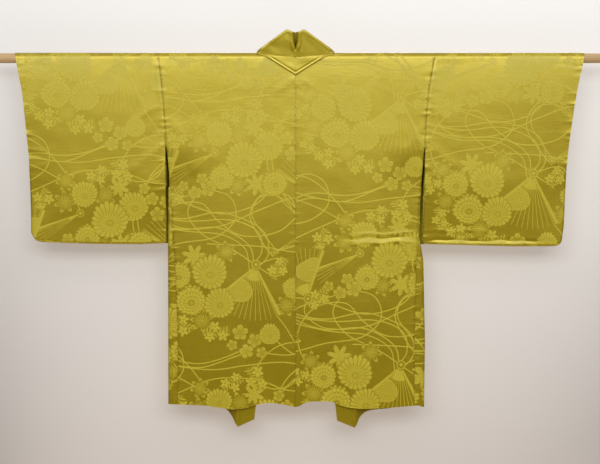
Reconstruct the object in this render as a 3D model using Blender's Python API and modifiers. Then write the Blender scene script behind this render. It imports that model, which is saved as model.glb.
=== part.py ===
"""Haori jacket on a rod: an unlined silk haori, every sewn piece a closed wall at its real size.

Metres, +Z up. The rod's axis runs along X through the origin, which is at the centre of the back.
The garment's back faces -Y and its front +Y. Its left side is at -X.
A point of a hanging piece is given by how far across it lies (X, counted from the centre line)
and by its level (Z, counted from the rod's axis)."""

import math

import bmesh
import bpy

COLLECTION = "haori_on_rod"

# Cloth and clearances
CLOTH = 0.0012  # wall of one panel with its seam allowances
BAND = 0.0020  # wall of the collar, whose cloth is folded several times
SEAM_GAP = 0.0006  # between two pieces sewn edge to edge
LAYER_GAP = 0.0004  # between pieces that lie on each other

# Rod
ROD_RADIUS = 0.011
ROD_LENGTH = 1.400
ROD_SHIFT = 0.009  # the rod's middle, to the right of the centre seam
ROD_CHAMFER = 0.0015

# How far each piece's middle surface lies from the rod's axis
PANEL_REACH = ROD_RADIUS + LAYER_GAP + CLOTH / 2
COLLAR_REACH = PANEL_REACH + CLOTH / 2 + 2 * LAYER_GAP + BAND / 2

# Depth of the hanging garment, from its middle plane to the middle of a wall
BODY_DEPTH = 0.0105
BODY_SIDE_DEPTH = 0.0060
SLEEVE_DEPTH = 0.0095
SLEEVE_FOOT = 0.0042  # the rounded bottom and outer edge of a sleeve
SETTLE = 0.06  # the walls leave the rod's width over this drop
HEM_WAVE = 0.010  # how far the deepest fold of the hem swings out
HEM_TUCK = 0.35  # and how far inward its highest places sit, as a share of that
HEM_SPREAD = 0.009  # the hem's rise or fall that makes a full swing
FOLD_START = 0.30  # folds begin at this share of the way down

# Levels
ARMHOLE_END = -0.197
GUSSET_TOP = -0.288
ARMHOLE_ROWS = 5
BODY_LOWS = [0.08] + [0.16 + 0.84 * k / 8 for k in range(9)]  # its second row is at the gusset's top
SLEEVE_LOWS = [0.15, 0.30, 0.45, 0.60, 0.75, 0.88, 1.0]
CUFF_END = -0.225  # below it the sleeve's outer edge is sewn shut
CUFF_TAPER = 0.035  # over this drop the open cuff closes

# Neck
SHOULDER_POINT = 0.0875  # across
NECK_LOW = -0.010  # the back panel's top edge at the centre
NECK_SIDE = 0.058  # across, where that edge reaches the rod's level
FLAP_TIP = -0.040
FLAP_END_ACROSS = 0.0775
FLAP_END = 0.0085  # how far up over the rod the flap's lower edge meets the shoulder
SLIT_TOP = 0.0042  # half the slit's width at the collar's peak
PEAK_ACROSS = 0.0160
PEAK_LEVEL = 0.0625
NOTCH_LEVEL = 0.0560
BAND_LAP = 0.006  # how far the collar laps the front panel's edge
BAND_TURN_OUT = 0.022  # the band's free edge stands off at the hem

# Each table has a row for each bend of an edge: (level, across), or (across, level) where its name ends in
# bottom or hem. Between rows the edge runs straight.
LEFT = {
    "sign": -1.0,
    "armhole": ((0.010, 0.3098), (-0.086, 0.2989), (-0.150, 0.2944), (-0.197, 0.2926)),
    "sleeve_inner": ((-0.197, 0.2926), (-0.411, 0.2939)),
    "body_side": (
        (-0.205, 0.2880),
        (-0.219, 0.2865),
        (-0.263, 0.2827),
        (-0.291, 0.2836),
        (-0.405, 0.2845),
        (-0.778, 0.2859),
    ),
    "gusset_seam": (
        (-0.291, 0.2826),
        (-0.342, 0.2780),
        (-0.409, 0.2758),
        (-0.445, 0.2717),
        (-0.533, 0.2679),
        (-0.633, 0.2646),
    ),
    "cuff": ((0.010, 0.6304), (-0.084, 0.6132), (-0.181, 0.6042), (-0.248, 0.5982), (-0.378, 0.5948)),
    "sleeve_bottom": (
        (0.290, -0.4159),
        (0.353, -0.4186),
        (0.463, -0.4175),
        (0.548, -0.4137),
        (0.588, -0.4070),
        (0.595, -0.3960),
    ),
    "back_hem": (
        (0.0000, -0.784),
        (0.0235, -0.779),
        (0.0535, -0.775),
        (0.0730, -0.776),
        (0.0930, -0.781),
        (0.1130, -0.787),
        (0.1440, -0.789),
        (0.2030, -0.781),
        (0.2860, -0.778),
    ),
    "front_hem": (
        (0.1305, -0.8240),
        (0.1380, -0.8095),
        (0.1457, -0.7950),
        (0.1550, -0.7870),
        (0.2000, -0.7810),
        (0.2860, -0.7760),
    ),
    "collar_foot": {
        "fold_across": 0.0926,
        "fold_level": -0.810,
        "seam_across": 0.1310,
        "seam_level": -0.825,
    },
}
RIGHT = {
    "sign": 1.0,
    "armhole": ((0.0025, 0.3134), (-0.064, 0.3018), (-0.129, 0.2953), (-0.197, 0.2915)),
    "sleeve_inner": ((-0.197, 0.2915), (-0.409, 0.2872)),
    "body_side": (
        (-0.205, 0.2890),
        (-0.214, 0.2881),
        (-0.281, 0.2825),
        (-0.331, 0.2807),
        (-0.405, 0.2787),
        (-0.454, 0.2874),
        (-0.634, 0.2910),
        (-0.785, 0.2890),
    ),
    "gusset_seam": (
        (-0.291, 0.2813),
        (-0.331, 0.2782),
        (-0.427, 0.2746),
        (-0.454, 0.2708),
        (-0.566, 0.2688),
        (-0.651, 0.2670),
    ),
    "cuff": (
        (0.010, 0.6486),
        (-0.012, 0.6457),
        (-0.047, 0.6372),
        (-0.111, 0.6262),
        (-0.196, 0.6150),
        (-0.257, 0.6085),
        (-0.378, 0.6042),
    ),
    "sleeve_bottom": (
        (0.288, -0.4181),
        (0.492, -0.4233),
        (0.584, -0.4233),
        (0.598, -0.4137),
        (0.604, -0.3990),
    ),
    "back_hem": (
        (0.000, -0.784),
        (0.010, -0.782),
        (0.019, -0.775),
        (0.037, -0.772),
        (0.068, -0.771),
        (0.086, -0.773),
        (0.095, -0.779),
        (0.118, -0.785),
        (0.147, -0.788),
        (0.207, -0.786),
        (0.275, -0.781),
        (0.289, -0.785),
    ),
    "front_hem": (
        (0.1338, -0.828),
        (0.1368, -0.816),
        (0.1457, -0.802),
        (0.1640, -0.793),
        (0.2070, -0.789),
        (0.2900, -0.783),
    ),
    "collar_foot": {
        "fold_across": 0.0937,
        "fold_level": -0.811,
        "seam_across": 0.1343,
        "seam_level": -0.829,
    },
}
HEM_MEAN = -0.780
SLEEVE_BOTTOM = -0.416


def along(table, at):
    """The second column of a table at this value of its first, straight between rows and level past them."""
    rows = sorted(table)
    if at <= rows[0][0]:
        return rows[0][1]
    for (first, start), (last, end) in zip(rows, rows[1:]):
        if at <= last:
            return start + (end - start) * (at - first) / (last - first)
    return rows[-1][1]


def mix(a, b, share):
    return a + (b - a) * share


def smooth(share):
    share = min(max(share, 0.0), 1.0)
    return share * share * (3 - 2 * share)


def stations(lows, turns, foot=0):
    """The rows of a piece that hangs over the rod, from the back's bottom edge to the front's.

    Each is (side, high, low, turn). side is -1 on the back, 0 over the rod, 1 on the front and 2 under the
    piece. high is the share of the way down to the armhole's end, low the share from there to the bottom edge,
    and turn the angle over the rod or under the piece."""
    highs = [(k / ARMHOLE_ROWS) ** 1.3 for k in range(1, ARMHOLE_ROWS + 1)]
    falling = [(high, 0.0) for high in highs] + [(1.0, low) for low in lows]
    back = [(-1, high, low, 0.0) for high, low in reversed(falling)]
    over = [(0, 0.0, 0.0, math.pi * (k / turns - 0.5)) for k in range(turns + 1)]
    front = [(1, high, low, 0.0) for high, low in falling]
    under = [(2, 1.0, 1.0, math.pi * k / foot) for k in range(1, foot)] if foot else []
    return back + over + front + under


def level_of(row, bottom):
    """A row's level on a piece whose bottom edge is here at this level."""
    _, high, low, _ = row
    return high * ARMHOLE_END + low * (bottom - ARMHOLE_END)


def add_object(name, mesh, material, collection):
    piece = bpy.data.objects.new(name, mesh)
    mesh.materials.append(material)
    collection.objects.link(piece)
    return piece


def add_wall(name, columns, rows, place, wall, material, collection, ring=False):
    """A closed wall from an open surface: place(column, row) is the middle surface's point at each pair."""
    bm = bmesh.new()
    last_column, last_row = len(columns) - 1, len(rows) - 1
    bmesh.ops.create_grid(bm, x_segments=last_column, y_segments=last_row, size=1.0)
    for vertex in bm.verts:
        column = round((vertex.co.x + 1) / 2 * last_column)
        row = round((vertex.co.y + 1) / 2 * last_row)
        vertex.co = place(columns[column], rows[row])
    if ring:
        bmesh.ops.remove_doubles(bm, verts=bm.verts, dist=0.00001)
    bmesh.ops.recalc_face_normals(bm, faces=bm.faces)
    mesh = bpy.data.meshes.new(name)
    bm.to_mesh(mesh)
    bm.free()
    piece = add_object(name, mesh, material, collection)
    solidify = piece.modifiers.new("wall", "SOLIDIFY")
    solidify.thickness = wall
    solidify.offset = 0.0
    solidify.use_even_offset = True
    mesh.shade_smooth()
    mesh.set_sharp_from_angle(angle=math.radians(40))
    return piece


def over_rod(turn, reach):
    """(Y, Z) on a circle about the rod: -90 degrees is its back, 0 its top and 90 degrees its front."""
    return reach * math.sin(turn), reach * math.cos(turn)


def wrapped(way, reach):
    """(Y, Z) this way along a wall over the rod, from the level of its axis at the back: it hangs down before that."""
    if way < 0:
        return -reach, way
    return over_rod(way / reach - math.pi / 2, reach)


def body_depth(shape, side, across, outer, level):
    """From the middle plane to the middle of a body panel's wall.

    The wall leaves the rod's width, draws in toward the side edge, and swings out most where its hem hangs lowest."""
    edge = smooth(1 - (outer - across) / 0.05) * smooth((ARMHOLE_END - level) / 0.1)
    depth = mix(PANEL_REACH, mix(BODY_DEPTH, BODY_SIDE_DEPTH, edge), smooth(-level / SETTLE))
    hem = shape["back_hem"] if side < 0 else shape["front_hem"]
    low = max(-HEM_TUCK, min(1.0, (HEM_MEAN - along(hem, across)) / HEM_SPREAD))
    grown = smooth((level / HEM_MEAN - FOLD_START) / (1 - FOLD_START))
    return depth + (1 - edge) * HEM_WAVE * low * grown


def body_edges(shape, side, level):
    """(outer, inner) edges of a body panel at this level, both counted across."""
    if level > ARMHOLE_END:
        outer = along(shape["armhole"], level) - SEAM_GAP
    elif level > GUSSET_TOP:
        outer = along(shape["body_side"], level)
    else:
        outer = along(shape["gusset_seam"], level)
    if side < 0:
        neck = (level - NECK_LOW) / (0.0 - NECK_LOW)
        inner = mix(SEAM_GAP / 2, NECK_SIDE, min(max(neck, 0.0), 1.0))
    else:
        foot = shape["collar_foot"]
        inner = mix(SHOULDER_POINT, foot["seam_across"], min(max(level / foot["seam_level"], 0.0), 1.0))
    return outer, inner - (BAND_LAP if side > 0 else 0.0)


def add_body(name, shape, material, collection):
    """One length of cloth from the back hem over the shoulder to the front hem, with no shoulder seam."""
    columns = [k / 11 for k in range(12)]
    rows = stations(BODY_LOWS, turns=6)

    def place(column, row):
        side, _, _, turn = row
        if side == 0:
            y, z = over_rod(turn, PANEL_REACH)
            outer, _ = body_edges(shape, side, z)
            inner = mix(NECK_SIDE, SHOULDER_POINT - BAND_LAP, smooth(1 + turn / (math.pi / 2)))
            return (shape["sign"] * mix(outer, inner, column), y, z)
        hem = shape["back_hem"] if side < 0 else shape["front_hem"]
        outer, inner = body_edges(shape, side, level_of(row, HEM_MEAN))
        z = level_of(row, along(hem, mix(outer, inner, column)))
        outer, inner = body_edges(shape, side, z)
        across = mix(outer, inner, column)
        return (shape["sign"] * across, side * body_depth(shape, side, across, outer, z), z)

    return add_wall(name, columns, rows, place, CLOTH, material, collection)


def add_sleeve(name, shape, material, collection):
    """A bag hung over the rod: open along its inner edge and at the cuff, sewn shut below both."""
    from_edge = (SLEEVE_FOOT, SLEEVE_FOOT * 0.5, SLEEVE_FOOT * 0.13, 0.0)
    columns = [("share", k / 6) for k in range(7)] + [("edge", distance) for distance in from_edge[1:]]
    rows = stations(SLEEVE_LOWS, turns=6, foot=4)
    rows = rows + [rows[0]]

    def place(column, row):
        side, _, low, turn = row
        kind, amount = column
        level = over_rod(turn, PANEL_REACH)[1] if side == 0 else level_of(row, SLEEVE_BOTTOM)
        outer = along(shape["cuff"], level)
        inner = along(shape["armhole"] if level > ARMHOLE_END else shape["sleeve_inner"], level)
        across = mix(inner, outer - SLEEVE_FOOT, amount) if kind == "share" else outer - amount
        if side == 0:
            y, z = over_rod(turn, PANEL_REACH)
            return (shape["sign"] * across, y, z)
        bottom = along(shape["sleeve_bottom"], across)
        z = level_of(row, bottom + SLEEVE_FOOT)
        hang = mix(PANEL_REACH, SLEEVE_DEPTH, smooth(-z / SETTLE))
        depth = mix(hang, SLEEVE_FOOT, smooth(low))
        y = side * depth
        if side == 2:
            y, z = SLEEVE_FOOT * math.cos(turn), z - SLEEVE_FOOT * math.sin(turn)
        left = amount if kind == "edge" else SLEEVE_FOOT
        rounded = math.sqrt(max(0.0, 1 - (1 - left / SLEEVE_FOOT) ** 2))
        sewn = smooth((CUFF_END - z) / CUFF_TAPER)
        slim = min(1.0, mix(1.0, SLEEVE_FOOT / max(abs(depth), SLEEVE_FOOT), smooth(1 - (outer - across) / 0.05)))
        return (shape["sign"] * across, y * mix(1.0, rounded * slim, sewn), z)

    return add_wall(name, columns, rows, place, CLOTH, material, collection, ring=True)


def add_gusset(name, shape, material, collection):
    """The wedge between back and front, folded in half along the side."""
    columns = [math.pi * (k / 6 - 0.5) for k in range(7)]
    rows = BODY_LOWS[1:]
    hem = along(shape["back_hem"], along(shape["gusset_seam"], HEM_MEAN))

    def place(turn, low):
        z = level_of((0, 1.0, low, 0.0), hem)
        seam = along(shape["gusset_seam"], z) + SEAM_GAP
        side = max(along(shape["body_side"], z), seam + 0.002)
        y = BODY_SIDE_DEPTH * math.sin(turn)
        return (shape["sign"] * mix(seam, side, math.cos(turn)), y, z)

    return add_wall(name, columns, rows, place, CLOTH, material, collection)


def peak_outline(across):
    """Level of the collar's top edge, which rises from the shoulder to a peak beside the slit."""
    if across < PEAK_ACROSS:
        return mix(NOTCH_LEVEL, PEAK_LEVEL, smooth((across - SLIT_TOP) / (PEAK_ACROSS - SLIT_TOP)))
    share = (across - PEAK_ACROSS) / (SHOULDER_POINT - PEAK_ACROSS)
    return mix(PEAK_LEVEL, COLLAR_REACH, share)


def add_collar(name, shape, material, collection):
    """Half of the collar: the flap on the back, over the rod, up to the peak and down the front."""
    columns = [k / 8 for k in range(9)]
    flap = [("flap", k / 3) for k in range(3)]
    over = [("over", k / 5) for k in range(5)]
    peak = [("rise", k / 2) for k in range(3)] + [("fall", 1 - k / 2) for k in range(3)]
    turn = [("turn", math.radians(65))]
    front = [("front", (k / 11) ** 1.1) for k in range(12)]
    foot = shape["collar_foot"]

    def place(share, row):
        kind, amount = row
        top_across = mix(SEAM_GAP / 2, SHOULDER_POINT, share)
        slit = mix(SLIT_TOP, SHOULDER_POINT, share)
        crest = peak_outline(slit)
        if kind in ("flap", "over"):
            low = mix(FLAP_TIP, FLAP_END, share)
            bend = max(0.0, low + 0.002)
            way = mix(low, bend, amount) if kind == "flap" else mix(bend, COLLAR_REACH * math.radians(88), amount)
            y, z = wrapped(way, COLLAR_REACH)
            shoulder = mix(FLAP_END_ACROSS, SHOULDER_POINT, smooth(way / COLLAR_REACH))
            return (shape["sign"] * mix(SEAM_GAP / 2, shoulder, share), y, z)
        if kind == "turn":
            y, z = over_rod(amount, COLLAR_REACH)
            return (shape["sign"] * top_across, y, z)
        if kind in ("rise", "fall"):
            across = mix(top_across, slit, amount)
            y_low = -0.0005 if kind == "rise" else 0.0085
            y_top = 0.0010 if kind == "rise" else 0.0045
            z_low = math.sqrt(COLLAR_REACH**2 - y_low**2)
            return (shape["sign"] * across, mix(y_low, y_top, amount), mix(z_low, max(crest, z_low), amount))
        fold = mix(SEAM_GAP / 2, foot["fold_across"], amount)
        seam = mix(SHOULDER_POINT, foot["seam_across"], amount)
        level = mix(foot["fold_level"], foot["seam_level"], share)
        across = mix(fold, seam, share)
        z = amount * level
        panel = body_depth(shape, 1, seam - BAND_LAP, body_edges(shape, 1, z)[0], z)
        y = panel + COLLAR_REACH - PANEL_REACH + (LAYER_GAP + BAND_TURN_OUT * (1 - share)) * amount
        return (shape["sign"] * across, y, z)

    rows = flap + over + peak + turn + front
    return add_wall(name, columns, rows, place, BAND, material, collection)


def add_rod(name, material, collection):
    curve = bpy.data.curves.new(name, "CURVE")
    curve.dimensions = "3D"
    curve.bevel_depth = ROD_RADIUS
    curve.bevel_resolution = 4
    curve.use_fill_caps = True
    spline = curve.splines.new("POLY")
    spline.points.add(3)
    half = ROD_LENGTH / 2
    narrowed = 1 - ROD_CHAMFER / ROD_RADIUS
    inset = half - ROD_CHAMFER
    ends = ((-half, narrowed), (-inset, 1.0), (inset, 1.0), (half, narrowed))
    for point, (x, radius) in zip(spline.points, ends):
        point.co = (x + ROD_SHIFT, 0.0, 0.0, 1.0)
        point.radius = radius
    curve.materials.append(material)
    rod = bpy.data.objects.new(name, curve)
    collection.objects.link(rod)
    return rod


def make_material(name, colour, roughness, metallic=0.0):
    material = bpy.data.materials.new(name)
    material.use_nodes = True
    principled = material.node_tree.nodes["Principled BSDF"]
    principled.inputs["Base Color"].default_value = (*colour, 1.0)
    principled.inputs["Roughness"].default_value = roughness
    principled.inputs["Metallic"].default_value = metallic
    material.diffuse_color = (*colour, 1.0)
    return material


def main():
    for existing in list(bpy.data.objects):
        bpy.data.objects.remove(existing, do_unlink=True)
    collection = bpy.data.collections.new(COLLECTION)
    bpy.context.scene.collection.children.link(collection)
    sewn = (
        ("body", add_body, (0.36, 0.28, 0.045)),
        ("sleeve", add_sleeve, (0.34, 0.27, 0.045)),
        ("gusset", add_gusset, (0.28, 0.20, 0.030)),
        ("collar", add_collar, (0.48, 0.40, 0.090)),
    )
    for side, shape in (("left", LEFT), ("right", RIGHT)):
        for piece, add_piece, colour in sewn:
            name = f"{piece}_{side}"
            add_piece(name, shape, make_material(f"silk_{name}", colour, 0.45), collection)
    add_rod("rod", make_material("pale_wood", (0.72, 0.50, 0.33), 0.55), collection)


main()
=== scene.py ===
import math

import bmesh
import bpy
import numpy as np
from bpy.props import FloatProperty, FloatVectorProperty, IntProperty, PointerProperty
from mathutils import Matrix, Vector, kdtree


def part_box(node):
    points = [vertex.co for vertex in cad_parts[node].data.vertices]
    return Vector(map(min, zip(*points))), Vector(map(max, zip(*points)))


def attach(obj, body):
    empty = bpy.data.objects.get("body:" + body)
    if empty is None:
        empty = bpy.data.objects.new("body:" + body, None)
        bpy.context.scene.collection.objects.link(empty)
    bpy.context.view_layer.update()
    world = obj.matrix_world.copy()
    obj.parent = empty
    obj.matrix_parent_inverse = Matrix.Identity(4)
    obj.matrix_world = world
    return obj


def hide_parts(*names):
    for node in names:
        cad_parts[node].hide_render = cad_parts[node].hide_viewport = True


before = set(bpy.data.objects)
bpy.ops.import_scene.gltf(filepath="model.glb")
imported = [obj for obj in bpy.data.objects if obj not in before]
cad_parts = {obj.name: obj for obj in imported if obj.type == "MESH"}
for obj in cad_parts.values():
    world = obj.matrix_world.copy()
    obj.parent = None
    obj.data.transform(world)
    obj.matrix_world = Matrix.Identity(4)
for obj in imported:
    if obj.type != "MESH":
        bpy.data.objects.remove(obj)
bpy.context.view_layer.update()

bl_info = {
    "name": "Haori on a Rod",
    "version": (1, 0, 0),
    "blender": (4, 5, 0),
    "location": "3D View > Sidebar > Haori",
    "description": "Hangs a silk damask haori over its rod, sewn piece by sewn piece",
    "category": "Object",
}

ROD_LOW, ROD_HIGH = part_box("rod")
ROD_RADIUS = (ROD_HIGH[2] - ROD_LOW[2]) / 2

# How far the middle of a sheet lies from the rod's axis where it passes over it
PANEL_REACH = ROD_RADIUS + 0.0010
COLLAR_REACH = ROD_RADIUS + 0.0034
# How far the hanging sheets lie from the middle plane, and over what drop they settle there from the rod
BODY_DEPTH = 0.0105
BODY_SIDE_DEPTH = 0.0060
CUFF_DEPTH = 0.0070
SLEEVE_FOOT = 0.0042
SETTLE = 0.15
SLEEVE_SETTLE = 0.26
SLEEVE_SETTLE_OVER = 0.08
# A sleeve's lowest level, where its cloth coordinate is at its bottom fold, and the share of the drop from
# which it narrows to its foot
SLEEVE_LOW = -0.416
CLOTH_AT_FOLD = 0.45
NARROW_FROM = 0.62

# The hem: the height of its waves, where they begin (as a share of the drop) and how far the fronts tuck in
HEM_MEAN = -0.780
HEM_WAVE = 0.004
HEM_SPREAD = 0.009
HEM_TUCK = 0.35
FOLD_START = 0.30
FOOT_TUCK = 0.018
FOOT_TUCK_ACROSS = 0.024

# Levels below the rod's axis, and over what drop the cuff narrows to its seam
ARMHOLE_END = -0.197
GUSSET_TOP = -0.288
CUFF_END = -0.225
CUFF_TAPER = 0.100

# Neck and collar
SHOULDER_POINT = 0.0875
NECK_SIDE = 0.058
NECK_LOW = -0.010
BAND_LAP = 0.002
FLAP_TIP = -0.040
FLAP_END_ACROSS = 0.0775
FLAP_END = 0.0085
SLIT_TOP = 0.0034
PEAK_ACROSS = 0.0160
PEAK_LEVEL = 0.0625
NOTCH_LEVEL = 0.0560
COLLAR_LEAN = 0.078
BAND_TURN_OUT = 0.002

FALL_FOOT = 0.0085
CREST_THICKNESS = 0.0030
SLIT_BACKING = 0.0030
FLAP_UNEVENNESS = 0.00018
RISE_UNEVENNESS = 0.00030

# The collar's grid: its columns, the rows of the flap's edge and of its rest, the share that the edge takes,
# and the rows up to the crest, down behind it and down the front
COLLAR_COLUMNS = 45
EDGE_ROWS, FLAP_ROWS, EDGE_SHARE = 15, 20, 0.22
RISE_ROWS, FALL_ROWS, FRONT_ROWS = 30, 14, 205

# Where the cloth shows no figures below the collar: rows at the bands' feet and the fronts' inner corners
BAND_PLAIN_ROWS = 11
CORNER_ACROSS = 0.034
CORNER_LEVEL = -0.772

# What the "seam" attribute says far from a seam, at the collar's crest, and behind the opening under the
# armhole at its top, its middle and its foot. Close to zero it paints shade along a seam; below zero it
# paints shade on the cloth, darker the lower it goes.
FAR_FROM_SEAM = 0.05
CREST_SHADE = -0.0010
OPENING_SHADES = (-0.0016, -0.0011, -0.0008)

# How far the puckers beside a seam reach, and beside a cuff
PUCKER_REACH = 0.008
CUFF_PUCKER_REACH = 0.010

# How closely the grid's rows lie in a sharp crease
CREASE_SPACING = 0.0017

# Sizes that the grids are divided by, and the shares of the drop where they are closer for a sharp crease
PANEL_ACROSS, PANEL_DROP, PANEL_CREASE = 0.29, 0.79, (0.486, 0.546)
SLEEVE_ACROSS, SLEEVE_DROP, SLEEVE_CREASE = 0.31, 0.41, (0.93, 1.0)
GUSSET_DROP = 0.49

# The stage: the sheet's place before the rod's axis and the floor's and the wall's reach
SHEET_FRONT = 0.0125
FLOOR_REACH = 2.0
WALL_ACROSS, WALL_TOP, WALL_FOOT = 1.20, 0.55, 0.02
# Where the wall has faded out toward its sides, its top and its foot, and how steeply
FADE_SIDES, FADE_TOP, FADE_FOOT = (1.15, 3.5), (0.50, 4.0), (0.03, 12.0)
# The shares of its colour that the wall shows by the lamps' light and by its own glow, which is painted light
WALL_PAPER, WALL_GLOW = 0.62, 0.38

# Each lamp: its name, place, the point it faces, its size, watts and colour
LAMPS = (
    ("window", (0.0, -3.9, 1.13), (0.0, 0.0, 0.1), (4.8, 1.5), 116, (0.885, 1.0, 0.98)),
    ("ceiling", (0.0, -1.2, 1.0), (0.0, 0.0, -0.05), (2.4, 0.5), 5, (1.0, 0.99, 0.96)),
    ("behind", (0.4, 3.4, 1.1), (0.0, 0.0, -0.2), (2.6, 1.4), 60, (1.0, 0.99, 0.97)),
)

# Edges of the sewn pieces: (level, across), or (across, level) where the name ends in bottom or hem
LEFT = {
    "sign": -1.0,
    "seam_seed": 31,
    "cuff_seed": 61,
    "armhole": ((0.010, 0.3098), (-0.086, 0.2989), (-0.150, 0.2944), (-0.197, 0.2924), (-0.411, 0.2907)),
    "body_side": (
        (-0.205, 0.2892), (-0.219, 0.2872), (-0.263, 0.2836), (-0.288, 0.2834), (-0.294, 0.2866),
        (-0.410, 0.2866), (-0.778, 0.2859),
    ),
    "gusset_seam": (
        (-0.291, 0.2826), (-0.342, 0.2780), (-0.409, 0.2758), (-0.445, 0.2717), (-0.533, 0.2679),
        (-0.633, 0.2646),
    ),
    "cuff": ((0.010, 0.6304), (-0.084, 0.6132), (-0.181, 0.6042), (-0.248, 0.5982), (-0.378, 0.5948)),
    "sleeve_bottom": (
        (0.290, -0.4159), (0.353, -0.4186), (0.463, -0.4175), (0.548, -0.4145), (0.572, -0.4135),
        (0.584, -0.4098), (0.591, -0.4020), (0.5945, -0.3890),
    ),
    "back_hem": (
        (0.0000, -0.784), (0.0235, -0.779), (0.0535, -0.775), (0.0730, -0.776), (0.0930, -0.781),
        (0.1130, -0.787), (0.1440, -0.789), (0.2030, -0.781), (0.2860, -0.778),
    ),
    "front_hem": (
        (0.1298, -0.8289), (0.1343, -0.8177), (0.1410, -0.8064), (0.1502, -0.7962), (0.1568, -0.7895),
        (0.2000, -0.7800), (0.2860, -0.7750),
    ),
    "foot": {"fold_across": 0.0926, "fold_level": -0.8122, "seam_across": 0.1298, "seam_level": -0.8289},
}
RIGHT = {
    "sign": 1.0,
    "seam_seed": 41,
    "cuff_seed": 71,
    "armhole": ((0.0025, 0.3134), (-0.064, 0.3018), (-0.129, 0.2953), (-0.197, 0.2915), (-0.409, 0.2872)),
    "body_side": (
        (-0.205, 0.2890), (-0.214, 0.2881), (-0.281, 0.2825), (-0.331, 0.2807), (-0.405, 0.2787),
        (-0.454, 0.2874), (-0.634, 0.2910), (-0.785, 0.2890),
    ),
    "gusset_seam": (
        (-0.291, 0.2813), (-0.331, 0.2782), (-0.427, 0.2746), (-0.454, 0.2708), (-0.566, 0.2688),
        (-0.651, 0.2670),
    ),
    "cuff": (
        (0.010, 0.6486), (-0.012, 0.6457), (-0.047, 0.6372), (-0.111, 0.6262), (-0.196, 0.6150),
        (-0.257, 0.6085), (-0.378, 0.6042), (-0.398, 0.6028), (-0.416, 0.5992),
    ),
    "sleeve_bottom": (
        (0.288, -0.4181), (0.492, -0.4233), (0.584, -0.4230), (0.594, -0.4195), (0.599, -0.4120),
        (0.601, -0.4030),
    ),
    "back_hem": (
        (0.000, -0.784), (0.010, -0.782), (0.019, -0.775), (0.037, -0.772), (0.068, -0.771),
        (0.086, -0.773), (0.095, -0.779), (0.118, -0.785), (0.147, -0.788), (0.207, -0.786),
        (0.275, -0.781), (0.289, -0.785),
    ),
    "front_hem": (
        (0.1334, -0.8311), (0.1387, -0.8130), (0.1454, -0.8051), (0.1612, -0.7951), (0.1792, -0.7917),
        (0.2100, -0.7890), (0.2300, -0.7845), (0.2900, -0.7800),
    ),
    "foot": {"fold_across": 0.0935, "fold_level": -0.8153, "seam_across": 0.1334, "seam_level": -0.8311},
}
SHAPES = {"left": LEFT, "right": RIGHT}

# Creases of the back wall (-1) and the front wall (1). Each row: its two ends (signed across, level) in mm,
# how far it stands out in thousandths of a mm, or in below zero, and half its width in mm.
CREASES = {
    -1: (
        (-3, -44, -50, -84, 180, 8), (-4, -58, -44, -100, -120, 10), (-5, -41, -2, -62, 340, 4.5),
        (-12, -392, -2, -400, 260, 4), (-285, -140, -235, -185, 170, 9), (-280, -190, -220, -290, -210, 12),
        (-255, -330, -150, -360, 170, 11), (-262, -520, -110, -505, 140, 12),
        (-200, -640, -60, -652, -170, 13), (-120, -780, -105, -640, 1150, 15),
        (-70, -775, -60, -650, -1150, 14), (118, -397, 285, -394, 500, 3.4),
        (105, -405, 285, -403, -700, 3.6), (122, -416, 285, -414, 580, 3.4), (4, -49, 52, -66, 140, 7),
        (6, -66, 34, -92, -100, 9), (290, -150, 240, -215, 210, 9), (280, -205, 215, -300, -210, 12),
        (30, -300, 130, -330, 140, 12), (260, -560, 120, -545, 170, 12), (60, -772, 64, -610, -1340, 16),
        (120, -786, 112, -660, 1220, 15), (220, -784, 214, -690, 640, 16),
        (-622, -16, -560, -19, -180, 3.5), (-612, -204, -560, -212, 250, 4),
        (-608, -214, -568, -220, -250, 4), (-604, -246, -552, -240, 250, 5),
        (-603, -258, -560, -262, -200, 5), (-302, -105, -360, -140, 210, 8),
        (-300, -152, -350, -190, -170, 8), (-300, -198, -380, -262, 280, 11),
        (-590, -370, -480, -330, 170, 11), (-330, -400, -470, -396, 150, 7),
        (-294, -196, -306, -197, 500, 3.4), (-292, -283, -330, -281, 300, 3.4),
        (-292, -290, -326, -289, -300, 3.2), (-292, -298, -318, -299, 250, 3.4),
        (291, -200, 302, -201, 450, 3.4), (290, -262, 318, -266, 250, 3.6), (558, -15, 640, -20, -180, 3.5),
        (296, -387, 450, -390, 500, 5), (288, -411, 560, -410.5, -1100, 3.4),
        (288, -419, 505, -420.5, 1150, 4.2), (618, -240, 560, -234, 250, 5),
        (612, -252, 570, -258, -250, 5), (612, -272, 565, -270, 200, 5), (300, -110, 350, -150, 170, 8),
        (300, -198, 370, -250, 280, 11), (560, -400, 500, -350, 210, 11),
    ),
    1: (
        (-280, -160, -150, -230, 210, 10), (-250, -420, -120, -405, 280, 9),
        (-250, -560, -140, -600, -210, 12), (-170, -780, -180, -600, 1340, 16),
        (270, -150, 160, -240, 210, 10), (255, -395, 120, -402, 310, 8), (250, -640, 150, -585, -210, 12),
        (180, -780, 172, -590, 1340, 16), (-600, -210, -540, -225, 250, 6),
        (-300, -180, -400, -260, 280, 11), (-560, -390, -420, -350, 170, 11),
        (610, -210, 550, -235, 250, 6), (300, -190, 390, -270, 280, 11), (330, -402, 470, -396, 300, 6),
    ),
}

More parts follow.
